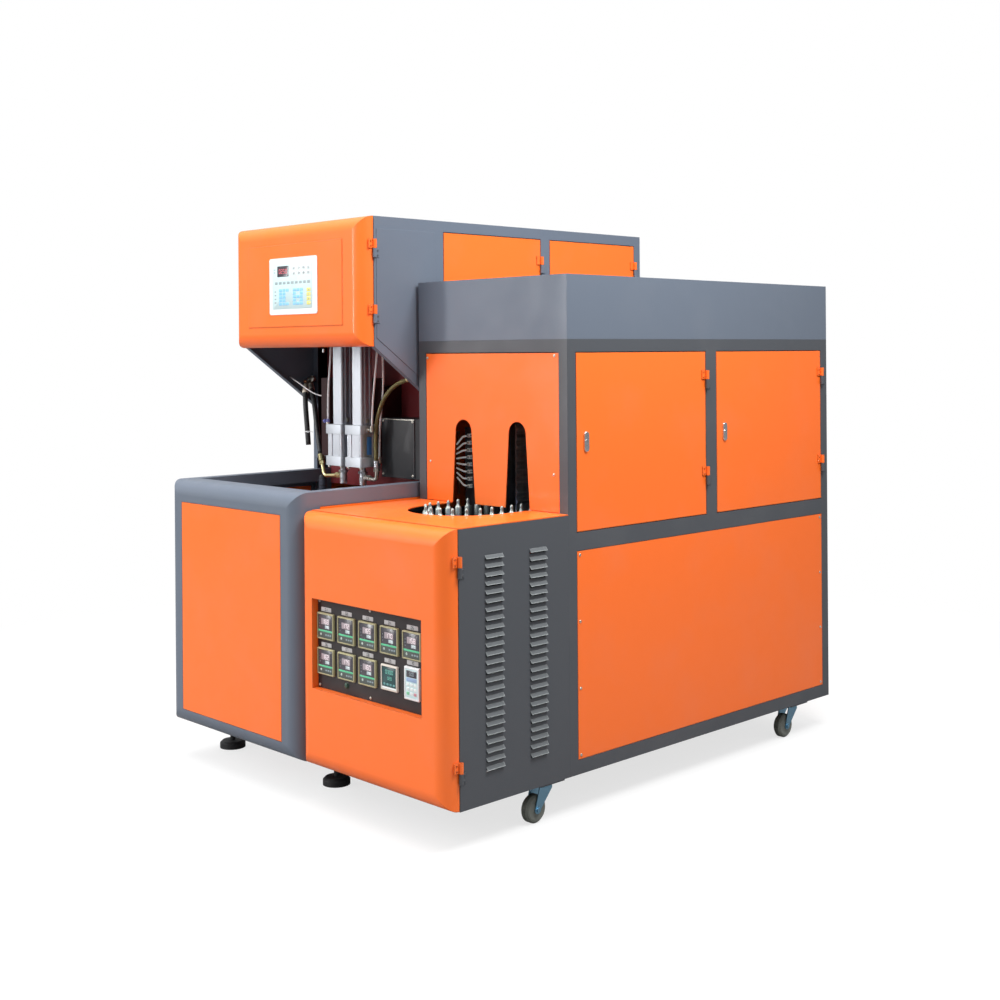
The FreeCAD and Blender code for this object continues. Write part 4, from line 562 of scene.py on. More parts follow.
def route_line(name, route):
    """The smooth line of a cord: one open spline whose control points are the route's."""
    curve = bpy.data.curves.new(name + "_line", "CURVE")
    curve.dimensions = "3D"
    curve.resolution_u = 8
    spline = curve.splines.new("NURBS")
    spline.points.add(len(route) - 1)
    for point, place in zip(spline.points, route):
        point.co = (*at(*place), 1.0)
    spline.order_u = 3
    spline.use_endpoint_u = True
    line = bpy.data.objects.new(name + "_line", curve)
    bpy.context.scene.collection.objects.link(line)
    bpy.context.view_layer.update()
    read = bpy.data.meshes.new_from_object(line)
    points = [v.co.copy() for v in read.vertices]
    bpy.data.objects.remove(line)
    bpy.data.meshes.remove(read)
    return points


def angles(sides):
    """Equal angles once round."""
    return [TURN * k / sides for k in range(sides)]


def rings_along(points, radius, sides):
    """Rings of points round a line, each turned as little as possible from the last."""
    rings, side = [], None
    for k, p in enumerate(points):
        ahead = (points[min(k + 1, len(points) - 1)] - points[max(k - 1, 0)]).normalized()
        side = (ahead.orthogonal() if side is None else side - ahead * side.dot(ahead)).normalized()
        other = ahead.cross(side)
        rings.append([p + (side * math.cos(t) + other * math.sin(t)) * radius for t in angles(sides)])
    return rings


def tube_along(bm, points, radius, sides):
    """A closed round tube along points, with its own map: u round it and v along it, in metres."""
    layer = bm.loops.layers.uv.verify()
    lengths = [0.0]
    for a, b in zip(points, points[1:]):
        lengths.append(lengths[-1] + (b - a).length)
    rings = [[bm.verts.new(p) for p in ring] for ring in rings_along(points, radius, sides)]
    for k in range(len(rings) - 1):
        for s in range(sides):
            n = (s + 1) % sides
            face = bm.faces.new((rings[k][s], rings[k][n], rings[k + 1][n], rings[k + 1][s]))
            face.smooth = True
            for loop, (u, v) in zip(face.loops, ((s, k), (s + 1, k), (s + 1, k + 1), (s, k + 1))):
                loop[layer].uv = (u / sides, lengths[v])
    bm.faces.new(list(reversed(rings[0])))
    bm.faces.new(rings[-1])


def hose(name, route, radius, material, slot, node=None, bends=None, **facts):
    """One cord of the machine, as a mesh tube that follows its route's spline."""
    points = route_line(name, route)
    bm = bmesh.new()
    tube_along(bm, points, radius, HOSE_SIDES)
    piece = new_piece(name, bm, material, None if bends else "machine")
    if node:
        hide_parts(node)
    if bends:
        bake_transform(piece)
    return piece


def round_corners(width, height, corner, steps=4):
    """The outline of a rectangle about the origin, with rounded corners."""
    w, h = width / 2, height / 2
    if corner <= 0:
        return [(-w, -h), (w, -h), (w, h), (-w, h)]
    points = []
    for x, y, start in ((w, -h, -90), (w, h, 0), (-w, h, 90), (-w, -h, 180)):
        middle = (x - math.copysign(corner, x), y - math.copysign(corner, y))
        for step in range(steps + 1):
            angle = math.radians(start + 90 * step / steps)
            points.append((middle[0] + corner * math.cos(angle), middle[1] + corner * math.sin(angle)))
    return points


FACINGS = {"front": (RIGHT, UP, -BACK), "back": (-RIGHT, UP, BACK), "right": (BACK, UP, RIGHT),
           "left": (-BACK, UP, -RIGHT), "top": (RIGHT, BACK, UP)}        # across, up and out of each face
SEGMENTS = {"a": (0, 1, 1), "g": (0, 0, 1), "d": (0, -1, 1), "f": (-1, 0.5, 0), "b": (1, 0.5, 0),
            "e": (-1, -0.5, 0), "c": (1, -0.5, 0)}
FIGURES = {"0": "abcdef", "1": "bc", "2": "abged", "3": "abgcd", "4": "fgbc", "5": "afgcd", "6": "afgedc",
           "7": "abc", "8": "abcdefg", "9": "abcdfg"}


class Bench:
    """A piece in the making, in drawing millimetres. Each face keeps the number of its finish."""

    def __init__(self, name):
        self.name, self.bm, self.finishes = name, bmesh.new(), []

    def skin(self, rings, finish_name, closed=False):
        """A skin over rings of points. A closed one joins its last ring to its first, others get caps."""
        if finish_name not in self.finishes:
            self.finishes.append(finish_name)
        made = [[self.bm.verts.new(p) for p in ring] for ring in rings]
        pairs = list(zip(made, made[1:])) + ([(made[-1], made[0])] if closed else [])
        faces = []
        for low, high in pairs:
            for k in range(len(low)):
                n = (k + 1) % len(low)
                faces.append(self.bm.faces.new((low[k], low[n], high[n], high[k])))
        caps = [] if closed else [self.bm.faces.new(list(reversed(made[0]))), self.bm.faces.new(made[-1])]
        for face in faces + caps:
            face.smooth = face not in caps
            face.material_index = self.finishes.index(finish_name)

    def turned(self, start, direction, levels, finish_name, sides=24, closed=False):
        """A round piece through (distance, radius) levels along its axis. A closed one is a ring."""
        along = Vector(direction).normalized()
        across = along.orthogonal().normalized()
        up = along.cross(across)
        self.skin([[Vector(start) + along * reach + (across * math.cos(t) + up * math.sin(t)) * radius
                    for t in angles(sides)] for reach, radius in levels], finish_name, closed)

    def plate(self, middle, width, height, thickness, finish_name, corner=0.0, soft=0.3, facing="front"):
        """A plate that stands out from a face, with a softened outer edge."""
        across, up, out = FACINGS[facing]
        rings = []
        for reach, inset in ((0.0, 0.0), (thickness - soft, 0.0), (thickness - 0.3 * soft, 0.3 * soft),
                             (thickness, soft)):
            outline = round_corners(width - 2 * inset, height - 2 * inset,
                                    max(corner - inset, 0.02) if corner else 0)
            rings.append([Vector(middle) + out * reach + across * x + up * z for x, z in outline])
        self.skin(rings, finish_name)

    def figures(self, text, middle, height, finish_name, proud=0.15):
        """Seven-segment figures that face the front."""
        across, up, _ = FACINGS["front"]
        stroke, pitch = height * 0.15, height * 0.72
        for k, figure in enumerate(text):
            centre = Vector(middle) + across * (k - (len(text) - 1) / 2) * pitch
            for segment in FIGURES[figure]:
                x, z, level = SEGMENTS[segment]
                place = centre + across * (x * height * 0.23) + up * (z * height * 0.42)
                long = height * (0.42 if level else 0.36)
                width, tall = (long, stroke) if level else (stroke, long)
                self.plate(place, width, tall, proud, finish_name, soft=0.04)

    def bent(self, points, radius, finish_name, sides=12):
        """A bent rod through points."""
        self.skin(rings_along(points, radius, sides), finish_name)

    def shape(self):
        """The piece as a plain mesh, still in millimetres about its own origin."""
        mesh = bpy.data.meshes.new(self.name)
        self.bm.to_mesh(mesh)
        self.bm.free()
        mesh.set_sharp_from_angle(angle=SHARP_ANGLE)
        return mesh

    def finished(self, body, slot, *replaced):
        """Moves the piece to the frame and puts it in the scene."""
        for vert in self.bm.verts:
            vert.co = at(*vert.co)
        piece = new_piece(self.name, self.shape(), self.finishes, body)
        if replaced:
            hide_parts(*replaced)
        return piece


def setting_tree():
    """Geometry nodes that set a shape on every point, its top along "facing" and its x along "along"."""
    tree = bpy.data.node_groups.get("set_on_points")
    if tree:
        return tree
    tree = bpy.data.node_groups.new("set_on_points", "GeometryNodeTree")
    for name, kind in (("Geometry", "Geometry"), ("Shape", "Object"), ("Size", "Float"),
                       ("Finish", "Material")):
        tree.interface.new_socket(name, in_out="INPUT", socket_type="NodeSocket" + kind)
    tree.interface.new_socket("Geometry", in_out="OUTPUT", socket_type="NodeSocketGeometry")

    def add(kind, links, **settings):
        made = tree.nodes.new(kind)
        for key, value in settings.items():
            setattr(made, key, value)
        for key, source in links.items():
            tree.links.new(source, made.inputs[key])
        return made

    given = add("NodeGroupInput", {})
    shape = add("GeometryNodeObjectInfo", {"Object": given.outputs["Shape"]})
    shape.inputs["As Instance"].default_value = True
    turns = None
    for name, axis in (("facing", "Z"), ("along", "X")):
        way = add("GeometryNodeInputNamedAttribute", {}, data_type="FLOAT_VECTOR")
        way.inputs["Name"].default_value = name
        links = {"Vector": way.outputs["Attribute"]}
        if turns:
            links["Rotation"] = turns.outputs[0]
        turns = add("FunctionNodeAlignRotationToVector", links, axis=axis,
                    pivot_axis="Z" if turns else "AUTO")
    placed = add("GeometryNodeInstanceOnPoints", {
        "Points": given.outputs["Geometry"], "Instance": shape.outputs["Geometry"],
        "Rotation": turns.outputs[0], "Scale": given.outputs["Size"]})
    real = add("GeometryNodeRealizeInstances", {"Geometry": placed.outputs[0]})
    coated = add("GeometryNodeSetMaterial", {
        "Geometry": real.outputs[0], "Material": given.outputs["Finish"]})
    add("NodeGroupOutput", {"Geometry": coated.outputs[0]})
    return tree


def set_on_points(name, shape, places, finish_name, body, size=1.0):
    """Sets one shape on (point, facing, along) places of a body, and keeps the result as a plain mesh."""
    model = bpy.data.objects.new(name + "_shape", shape)
    points = bpy.data.meshes.new(name + "_points")
    points.from_pydata([at(*place) for place, _, _ in places], [], [])
    for k, key in ((1, "facing"), (2, "along")):
        layer = points.attributes.new(key, "FLOAT_VECTOR", "POINT")
        for place, value in zip(places, layer.data):
            value.vector = place[k]
    holder = bpy.data.objects.new(name + "_points", points)
    for one in (model, holder):
        bpy.context.scene.collection.objects.link(one)
    setter = holder.modifiers.new("setter", "NODES")
    setter.node_group = setting_tree()
    wanted = {"Shape": model, "Size": size / 1000, "Finish": finish(finish_name)}
    for socket in setter.node_group.interface.items_tree:
        if socket.item_type == "SOCKET" and socket.in_out == "INPUT" and socket.name in wanted:
            setter[socket.identifier] = wanted[socket.name]
    ready = holder.evaluated_get(bpy.context.evaluated_depsgraph_get())
    mesh = bpy.data.meshes.new_from_object(ready)
    holder.modifiers.remove(setter)
    for one in (model, holder):
        bpy.data.objects.remove(one)
    mesh.materials.clear()
    mesh.name = name
    mesh.set_sharp_from_angle(angle=SHARP_ANGLE)
    return new_piece(name, mesh, finish_name, body)


# ---------------------------------------------------------------- settings

def paint(name, description, hexed):
    """A colour in the settings."""
    return bpy.props.FloatVectorProperty(
        name=name, description=description, subtype="COLOR", size=3, min=0.0, max=1.0, default=linear(hexed))


def power(name, description, watts):
    """A lamp's power in the settings."""
    return bpy.props.FloatProperty(name=name, description=description, unit="POWER", min=0.0, default=watts)


class PaintSettings(bpy.types.PropertyGroup):
    orange: paint("Orange paint", "Colour of the doors, covers and screwed panels", "fb7228")
    grey: paint("Grey paint", "Colour of the blow station's frame and of the hoods", "636c79")
    # Painted shade: the same paint as the grey, made darker to stand for the shade on the heater's frame and
    # louvred sides.
    slate: paint("Slate paint", "Colour of the preform heater's frame and louvred sides", "4d5055")


class CameraSettings(bpy.types.PropertyGroup):
    place: bpy.props.FloatVectorProperty(
        name="Place", description="Where the camera stands", subtype="TRANSLATION", unit="LENGTH",
        size=3, default=(3.1688, -3.1116, 1.2458))
    turn: bpy.props.FloatProperty(
        name="Turn", description="How far the view is turned from the machine's front", unit="ROTATION",
        subtype="ANGLE", default=0.8035)
    roll: bpy.props.FloatProperty(
        name="Roll", description="How far the horizon leans", unit="ROTATION", subtype="ANGLE",
        default=-0.0073)
    lens: bpy.props.FloatProperty(
        name="Lens", description="Focal length for a 36 mm sensor", unit="CAMERA", min=10.0, default=49.786)
    shift: bpy.props.FloatVectorProperty(
        name="Shift", description="Framing of the view, in widths", size=2, default=(0.00565, -0.1474))


class LightSettings(bpy.types.PropertyGroup):
    sky: bpy.props.FloatProperty(
        name="Sky", description="Strength of the even light all round", min=0.0, default=0.57)
    key: power("Key", "Power of the large lamp in front", 62.0)
    side: power("Side", "Power of the lamp at the right", 80.0)
    strip: power("Strip", "Power of the narrow upright lamp far front left", 80.0)
    top: power("Top", "Power of the lamp overhead", 165.0)


# ---------------------------------------------------------------- operators

class SCENE_OT_blow_camera(bpy.types.Operator):
    """Sets up the camera at the photograph's place"""
    bl_idname = "scene.blow_camera"
    bl_label = "Camera"

    def execute(self, context):
        settings = context.scene.blow_camera
        data = bpy.data.cameras.new("Camera")
        data.lens, data.sensor_width = settings.lens, 36.0
        data.shift_x, data.shift_y = settings.shift
        data.clip_start, data.clip_end = 0.05, 60.0
        camera = bpy.data.objects.new("Camera", data)
        context.scene.collection.objects.link(camera)
        turn = Matrix.Rotation(settings.turn, 4, "Z")
        lift = Matrix.Rotation(math.pi / 2, 4, "X")
        roll = Matrix.Rotation(settings.roll, 4, "Z")
        camera.matrix_world = Matrix.Translation(settings.place) @ turn @ lift @ roll
        context.scene.camera = camera
        return {"FINISHED"}


class SCENE_OT_blow_hoses(bpy.types.Operator):
    """Lays the blow hoses, the conduit and the air tubes"""
    bl_idname = "scene.blow_hoses"
    bl_label = "Hoses and tubes"

    def execute(self, context):
        hose("hose_left", LEFT_HOSE, 0.0085, "hose_rubber", "black_rubber", "blow_hose_left",
             "blow_nozzle_left", far_end="object", stiffness="stiff", lay="taut")
        hose("hose_right", RIGHT_HOSE, 0.0065, "braided_hose", "braided_hose", "blow_hose_right",
             "blow_nozzle_right", far_end="object", stiffness="stiff", lay="taut")
        hose("conduit", CONDUIT, 0.0085, "conduit_rubber", "black_rubber", "cable_conduit",
             far_end="bare", stiffness="stiff", lay="hanging")
        facts = dict(far_end="object", stiffness="medium", lay="taut")
        for name, route, radius, node in (("air_tube_left", LEFT_TUBE, 0.003, "air_tubes"),
                                          ("air_tube_upper", UPPER_TUBE, 0.003, None),
                                          ("air_tube_lower", LOWER_TUBE, 0.003, None),
                                          ("signal_tube", SIGNAL_TUBE, 0.002, None)):
            hose(name, route, radius, "clear_tube", "clear_tube", node, **facts)
        return {"FINISHED"}


CASTORS = ("front_left", "front_right", "rear_left", "rear_right")
NODE_FINISHES = {
    "orange_paint": ["blower_front_panel", "blower_side_panels", "head_door", "right_column_doors",
                     "slot_panel", "heater_front_door", "oven_door_front", "oven_door_rear",
                     "heater_side_panels", "heater_deck", "heater_back_panel"],
    "back_paint": ["blower_back_panel"],
    "left_door_paint": ["left_column_door_front", "left_column_door_rear"],
    "carrier_paint": ["cylinder_carrier"],
    "grey_paint": ["blower_frame", "head_shell", "heater_hood"],
    "slate_paint": ["heater_frame"],
    "louvre_paint": ["louvred_side_left", "louvred_side_right"],
    "black_paint": ["blow_air_supply", "exhaust_fan", "controller_box"],
    # Painted shade on the column's front wall.
    "maroon_paint": ["column_front_panel"],
    "keypad_film": ["control_keypad"],
    "box_paint": ["electrical_panel"],
    "zinc_sheet": ["reflectors"],
    "blue_zinc": ["castor_fork_" + corner for corner in CASTORS],
    "bright_steel": ["stretch_rod_left", "stretch_rod_right", "blow_nozzle_left", "blow_nozzle_right",
                     "clamp_frame", "front_platen", "rear_platen", "preform_chain",
                     "lock_cam_front", "lock_cam_rear"],
    "aluminium": ["sealing_cylinders", "stretch_cylinders", "mould_front_half", "mould_rear_half"],
    "sprocket_steel": ["chain_gearmotor"],
    "quartz": ["lamp_banks"],
    "brass": ["hose_fittings"],
    "plate_black": ["control_plate"],
    "grey_rubber": ["castor_wheel_" + corner for corner in CASTORS],
    "black_rubber": ["levelling_feet"],
    "black_plastic": ["control_instruments"],
}


class SCENE_OT_blow_finishes(bpy.types.Operator):
    """Gives every carried-over part its finish"""
    bl_idname = "scene.blow_finishes"
    bl_label = "Finishes"

    def execute(self, context):
        for name, nodes in NODE_FINISHES.items():
            for node in nodes:
                dress(node, name)
        return {"FINISHED"}


def dress(node, name):
    """Gives a carried-over part one finish all over."""
    part = frame["nodes"][node]
    if not part.material_slots:
        part.data.materials.append(finish(name))
    for place in part.material_slots:
        place.material = finish(name)


def pipe_line(points, radius, steps=6):
    """The middle of a rigid pipe or lead that is bent on a former at its inner points."""
    line = [points[0]]
    for before, here, after in zip(points, points[1:], points[2:]):
        into, out = (before - here).normalized(), (after - here).normalized()
        reach = radius / math.tan(into.angle(out) / 2)
        a, b = here + into * reach, here + out * reach
        for k in range(steps + 1):
            t = k / steps
            line.append(a * (1 - t) ** 2 + here * (2 * t * (1 - t)) + b * t ** 2)
    return line + [points[-1]]


def hex_nut(bench, start, direction, radius, height, finish_name, bore=0.0):
    """A six-sided nut with chamfered corners, bored through where something passes."""
    soft = radius * 0.08
    levels = [(0.0, radius - soft), (soft, radius), (height - soft, radius), (height, radius - soft)]
    if bore:
        levels += [(height, bore), (0.0, bore)]
    bench.turned(start, direction, levels, finish_name, 6, closed=bool(bore))


def crimp_collar(bench, start, direction, radius, length, finish_name):
    """A collar pressed on a hose, with two rolled rings."""
    low = radius - 0.7
    bench.turned(start, direction, [
        (0.0, radius - 1.6), (0.8, radius - 0.3), (2.0, radius), (5.0, radius), (5.8, low), (8.0, low),
        (8.8, radius), (12.0, radius), (12.8, low), (15.0, low), (15.8, radius), (length - 1.0, radius),
        (length, radius - 0.8)],
        finish_name, 28)


class SCENE_OT_blow_nozzles(bpy.types.Operator):
    """Turns the two nozzles, and bends the pipes that feed them"""
    bl_idname = "scene.blow_nozzles"
    bl_label = "Nozzles"

    def execute(self, context):
        for side, x, route, radius, way in (("left", BLOW_XS[0], LEFT_HOSE, 8.5, -1),
                                            ("right", BLOW_XS[1], RIGHT_HOSE, 6.5, 1)):
            bench = Bench("nozzle_" + side)
            self.turn_nozzle(bench, (x, BLOW_Y, NOZZLE_FOOT))
            self.bend_pipe(bench, x, route, radius, way)
            bench.finished("blow_nozzle_" + side, "bright_steel", "blow_nozzle_" + side)
        return {"FINISHED"}

    def turn_nozzle(self, bench, foot):
        thread = [level for k in range(6) for level in ((28.0 + 1.4 * k, 12.0), (28.7 + 1.4 * k, 11.1))]
        outside = [(0.0, 10.0), (1.4, 11.8), (2.6, 12.4), (12.0, 12.4), (12.8, 11.5), (14.6, 11.5),
                   (15.4, 12.4), (24.0, 12.4), (25.2, 11.2), (27.0, 11.2)] + thread + [
                       (36.4, 11.0), (36.4, 10.0), (183.0, 10.0)]
        bench.turned(foot, UP, outside + [(183.0, 6.4), (0.0, 6.4)], "bright_steel", 32, closed=True)
        hex_nut(bench, (foot[0], foot[1], 758.6), UP, 15.4, 7.4, "bright_steel", 9.9)

    def bend_pipe(self, bench, x, route, radius, way):
        along = (Vector(route[1]) - Vector(route[0])).normalized()
        foot = Vector(route[0]) - along * 23.0
        corner = foot - along * ((foot.z - 742.0) / along.z)
        start = Vector((x + way * 11.5, BLOW_Y, NOZZLE_PORT))
        metal = "brass" if way < 0 else "nickel"
        run = RIGHT * way
        hex_nut(bench, start, run, 9.6, 8.0, metal)
        bench.turned(start + run * 8.0, run,
                     [(0.0, 6.4), (1.0, 7.0), (4.0, 7.0), (4.6, 6.0), (6.5, 5.6)], metal)
        hex_nut(bench, start + run * 13.5, (corner - start), 9.4, 12.0, metal)
        bench.bent(pipe_line([start, corner, foot + along * 2.0], 18.0, 8), 6.2, metal, 16)
        hex_nut(bench, foot - along * 11.0, along, 10.2, 10.0, metal)
        crimp_collar(bench, foot, along, radius + 2.5, 23.0, "khaki_steel" if way < 0 else "bright_steel")


def corners(across, along):
    """The four corners of a rectangle about its middle."""
    return [(a * across, b * along) for a in (-1, 1) for b in (-1, 1)]


TIE_RODS = corners(TIE_ROD_OFFSET, TIE_ROD_OFFSET)


def slotted_outline(half, corner, groove, depth):
    """A square bar's outline with one groove in the middle of each side."""
    side = [(-half + corner, -half), (-groove, -half), (-groove, -half + depth), (groove, -half + depth),
            (groove, -half), (half - corner, -half)]
    points = []
    for quarter in range(4):
        c, s = ((1, 0), (0, 1), (-1, 0), (0, -1))[quarter]
        points += [(x * c - y * s, x * s + y * c) for x, y in side]
    return points


def barrel_outline(half, corner):
    """A cylinder barrel's outline: plain in front and behind, two sensor grooves in each side."""
    right = [(half, -half + corner)]
    for middle in (-9.5, 9.5):
        right += [(half, middle - 2.6), (half - 3.2, middle - 2.6), (half - 3.2, middle + 2.6),
                  (half, middle + 2.6)]
    right.append((half, half - corner))
    front = [(-half + corner, -half), (half - corner, -half)]
    return front + right + [(-x, -y) for x, y in front + right]


def upright_bar(bench, x, y, outline, z0, z1, finish_name):
    """A drawn bar that stands upright."""
    bench.skin([[(x + u, y + v, z) for u, v in outline] for z in (z0, z1)], finish_name)


class SCENE_OT_blow_cylinders(bpy.types.Operator):
    """Makes the sealing and stretching cylinders with their caps, rods, ports and fittings"""
    bl_idname = "scene.blow_cylinders"
    bl_label = "Cylinders and fittings"

    def execute(self, context):
        self.sealing_cylinders()
        self.stretch_cylinders()
        self.hose_ends()
        self.push_ins()
        nut = Bench("tie_rod_nut")
        hex_nut(nut, (0, 0, 0), UP, 6.0, 5.0, "nickel")
        nut.turned((0, 0, 4.5), UP, [(0.0, 3.6), (2.6, 3.6), (3.2, 3.0)], "nickel", 12)
        places = [((x + u, BLOW_Y + v, SEALING_FOOT), -UP, RIGHT) for x in BLOW_XS for u, v in TIE_RODS]
        set_on_points("tie_rod_nuts", nut.shape(), places, "nickel", "machine")
        return {"FINISHED"}

    def sealing_cylinders(self):
        bench = Bench("sealing_bodies")
        for x in BLOW_XS:
            for z in (SEALING_FOOT, SEALING_TOP):
                bench.plate((x, BLOW_Y, z), 82, 82, 30, "cast_cap", 6.0, 1.0, "top")
            upright_bar(bench, x, BLOW_Y, slotted_outline(36.0, 9.0, 12.0, 2.2),
                        SEALING_BODY, SEALING_TOP + 1.0, "anodised")
            for u, v in TIE_RODS:
                bench.turned((x + u, BLOW_Y + v, SEALING_BODY), UP, [(0.0, 5.0), (73.0, 5.0)], "anodised", 16)
        bench.plate((BLOW_XS[1] + 33.8, BLOW_Y - 1.0, 848.0), 19, 56, 1.0, "blue_label", 2.0, 0.2, "right")
        bench.finished("machine", "aluminium", "sealing_cylinders")

    def stretch_cylinders(self):
        bench = Bench("stretch_bodies")
        for x in BLOW_XS:
            bench.plate((x, BLOW_Y, STRETCH_CAP), 53, 53, 26, "cast_cap", 5.0, 0.8, "top")
            upright_bar(bench, x, BLOW_Y, barrel_outline(23.5, 3.0),
                        STRETCH_FOOT, STRETCH_CAP + 1.0, "anodised")
            hex_nut(bench, (x, BLOW_Y, STRETCH_TOP), UP, 10.0, 6.0, "nickel", 6.4)
            bench.turned((x + 23.0, BLOW_Y, 926.0), (1, 0, 0),
                         [(0.0, 7.5), (3.0, 7.5), (3.0, 5.5), (6.0, 5.5)], "nickel", 6)
        bench.finished("machine", "aluminium", "stretch_cylinders")

    def hose_ends(self):
        bench = Bench("wall_fittings")
        for route, radius, wall, grip, metal in ((LEFT_HOSE, 8.5, BLOWER_LEFT + 2.0, 18.0, "nickel"),
                                                 (RIGHT_HOSE, 6.5, BLOWER_RIGHT - 2.0, 50.0, "brass")):
            end = Vector(route[-1])
            out = (end - Vector(route[-2])).normalized()
            reach = (wall - end.x) / out.x
            crimp_collar(bench, end - out * grip, out, radius + 2.3, 20.0, metal)
            bench.turned(end - out * (grip - 18.0), out, [
                (0.0, radius + 0.6), (reach + grip - 18.0, radius + 0.6),
                (reach + grip - 17.0, radius - 1.0)], metal)
            hex_nut(bench, end - out * (grip - 22.0), out, radius + 4.0, 9.0, metal)
            hex_nut(bench, end + out * max(reach - 13.0, 3.0), out, radius + 4.0, 8.0, metal)
        top = Vector(CONDUIT[0])
        rise = (top - Vector(CONDUIT[1])).normalized()
        bench.turned(top - rise * 6.0, rise, [
            (0.0, 9.4), (1.0, 10.0), (8.0, 10.0), (9.0, 8.6), (16.0, 8.2), (17.0, 7.2), (30.0, 5.6),
            (34.0, 5.0)], "cream_plug", 24)
        bench.turned(top + rise * 28.0, rise, [(0.0, 4.2), (6.0, 4.2), (7.0, 5.6), (13.0, 5.6), (14.0, 4.4)],
                     "copper", 16)
        bench.turned((-649, 541, 1053), (0.2, -1, 0.1), [
            (0.0, 7.0), (6.0, 7.0), (6.5, 9.5), (8.0, 11.0), (14.0, 11.0), (16.0, 9.6), (17.0, 6.0),
            (18.5, 4.5)], "nickel", 20)
        bench.turned((-674.0, 541, 1053), (1, 0, 0), [(0.0, 6.0), (20.0, 6.0), (25.0, 6.0)], "nickel", 12)
        bench.finished("machine", "bright_steel", "hose_fittings")
        tie = Bench("conduit_tie")
        middle, along = Vector(CONDUIT[3]), (Vector(CONDUIT[3]) - Vector(CONDUIT[2])).normalized()
        tie.turned(middle - along * 2.0, along, [(0.0, 8.2), (0.2, 10.0), (3.8, 10.0), (4.0, 8.2)],
                   "white_nylon", 28, closed=True)
        tie.plate((middle.x + 10.5, middle.y - 3.0, middle.z - 1.0), 7, 5, 5, "white_nylon", soft=0.6)
        tail = [middle + Vector(step) for step in ((10, -4, 0), (24, -6, 3), (34, -4, -1))]
        tie.bent(pipe_line(tail, 20.0), 1.1, "white_nylon", 8)
        tie.finished("machine", "black_plastic")

    def push_ins(self):
        bench = Bench("push_in_fittings")
        x, y, _ = LEFT_TUBE[0]
        bench.turned((x, y, STRETCH_FOOT), UP, [(0.0, 6.2), (2.4, 6.2), (2.6, 5.4), (7.0, 5.4)], "nickel", 20)
        bench.turned((x, y, 920.0), UP, [
            (0.0, 6.0), (0.6, 6.6), (4.0, 6.6), (5.4, 5.2), (9.0, 4.6), (9.6, 3.6)], "violet_nylon", 20)
        bench.turned((x - 9.0, y - 2.0, 918.0), (-0.3, -0.5, 0.8), [
            (0.0, 4.0), (4.0, 5.4), (9.0, 5.4), (11.0, 3.2)], "violet_nylon", 16)
        face = BLOW_XS[1] + 41.0
        for x, y, z in (UPPER_TUBE[0], LOWER_TUBE[0]):
            hex_nut(bench, (face, y, z - 12.0), RIGHT, 8.6, 6.0, "nickel")
            bench.turned((face + 6.0, y, z - 12.0), RIGHT, [
                (0.0, 6.0), (1.0, 6.6), (5.0, 6.6), (6.0, 5.4), (x - face - 6.0, 5.4)], "nickel", 20)
            bench.turned((x, y, z - 18.5), UP, [
                (0.0, 4.6), (1.0, 6.0), (12.0, 6.0), (13.0, 6.8), (16.0, 6.8), (16.6, 5.2), (20.0, 5.2),
                (20.5, 3.6)], "nickel", 20)
        bench.finished("machine", "bright_steel")
        lid = Bench("valve_box_lid")
        lid.plate((VALVE_BOX_X, VALVE_BOX_FACE, VALVE_BOX_Z), 154, 180, 2.0, "black_paint", 3.0, 0.6)
        lid.plate((VALVE_BOX_X, VALVE_BOX_FACE, 932.0), 156, 2.6, 3.6, "nickel", soft=0.5)
        lid.plate((-91.0, VALVE_BOX_FACE, VALVE_BOX_Z), 2.2, 180, 3.6, "slate_paint", soft=0.5)
        for x, z in ((-98, 926), (-240, 926), (-98, 760), (-240, 760)):
            lid.turned((x, VALVE_BOX_FACE - 2.0, z), -BACK,
                       [(0.0, 4.4), (1.6, 4.2), (2.6, 2.6)], "nickel", 14)
        lid.finished("machine", "black_paint")
        silencer = Bench("silencer")
        silencer.turned((-552.0, 500.0, 678.0), UP, [
            (0.0, 11.0), (8.0, 11.0), (9.0, 13.3), (24.0, 13.5), (25.0, 12.7), (26.5, 12.7), (27.5, 13.5),
            (44.0, 13.4), (52.0, 12.2), (57.0, 9.8), (60.5, 6.0), (61.6, 2.4)], "silencer_bronze", 28)
        silencer.finished("machine", "black_plastic")


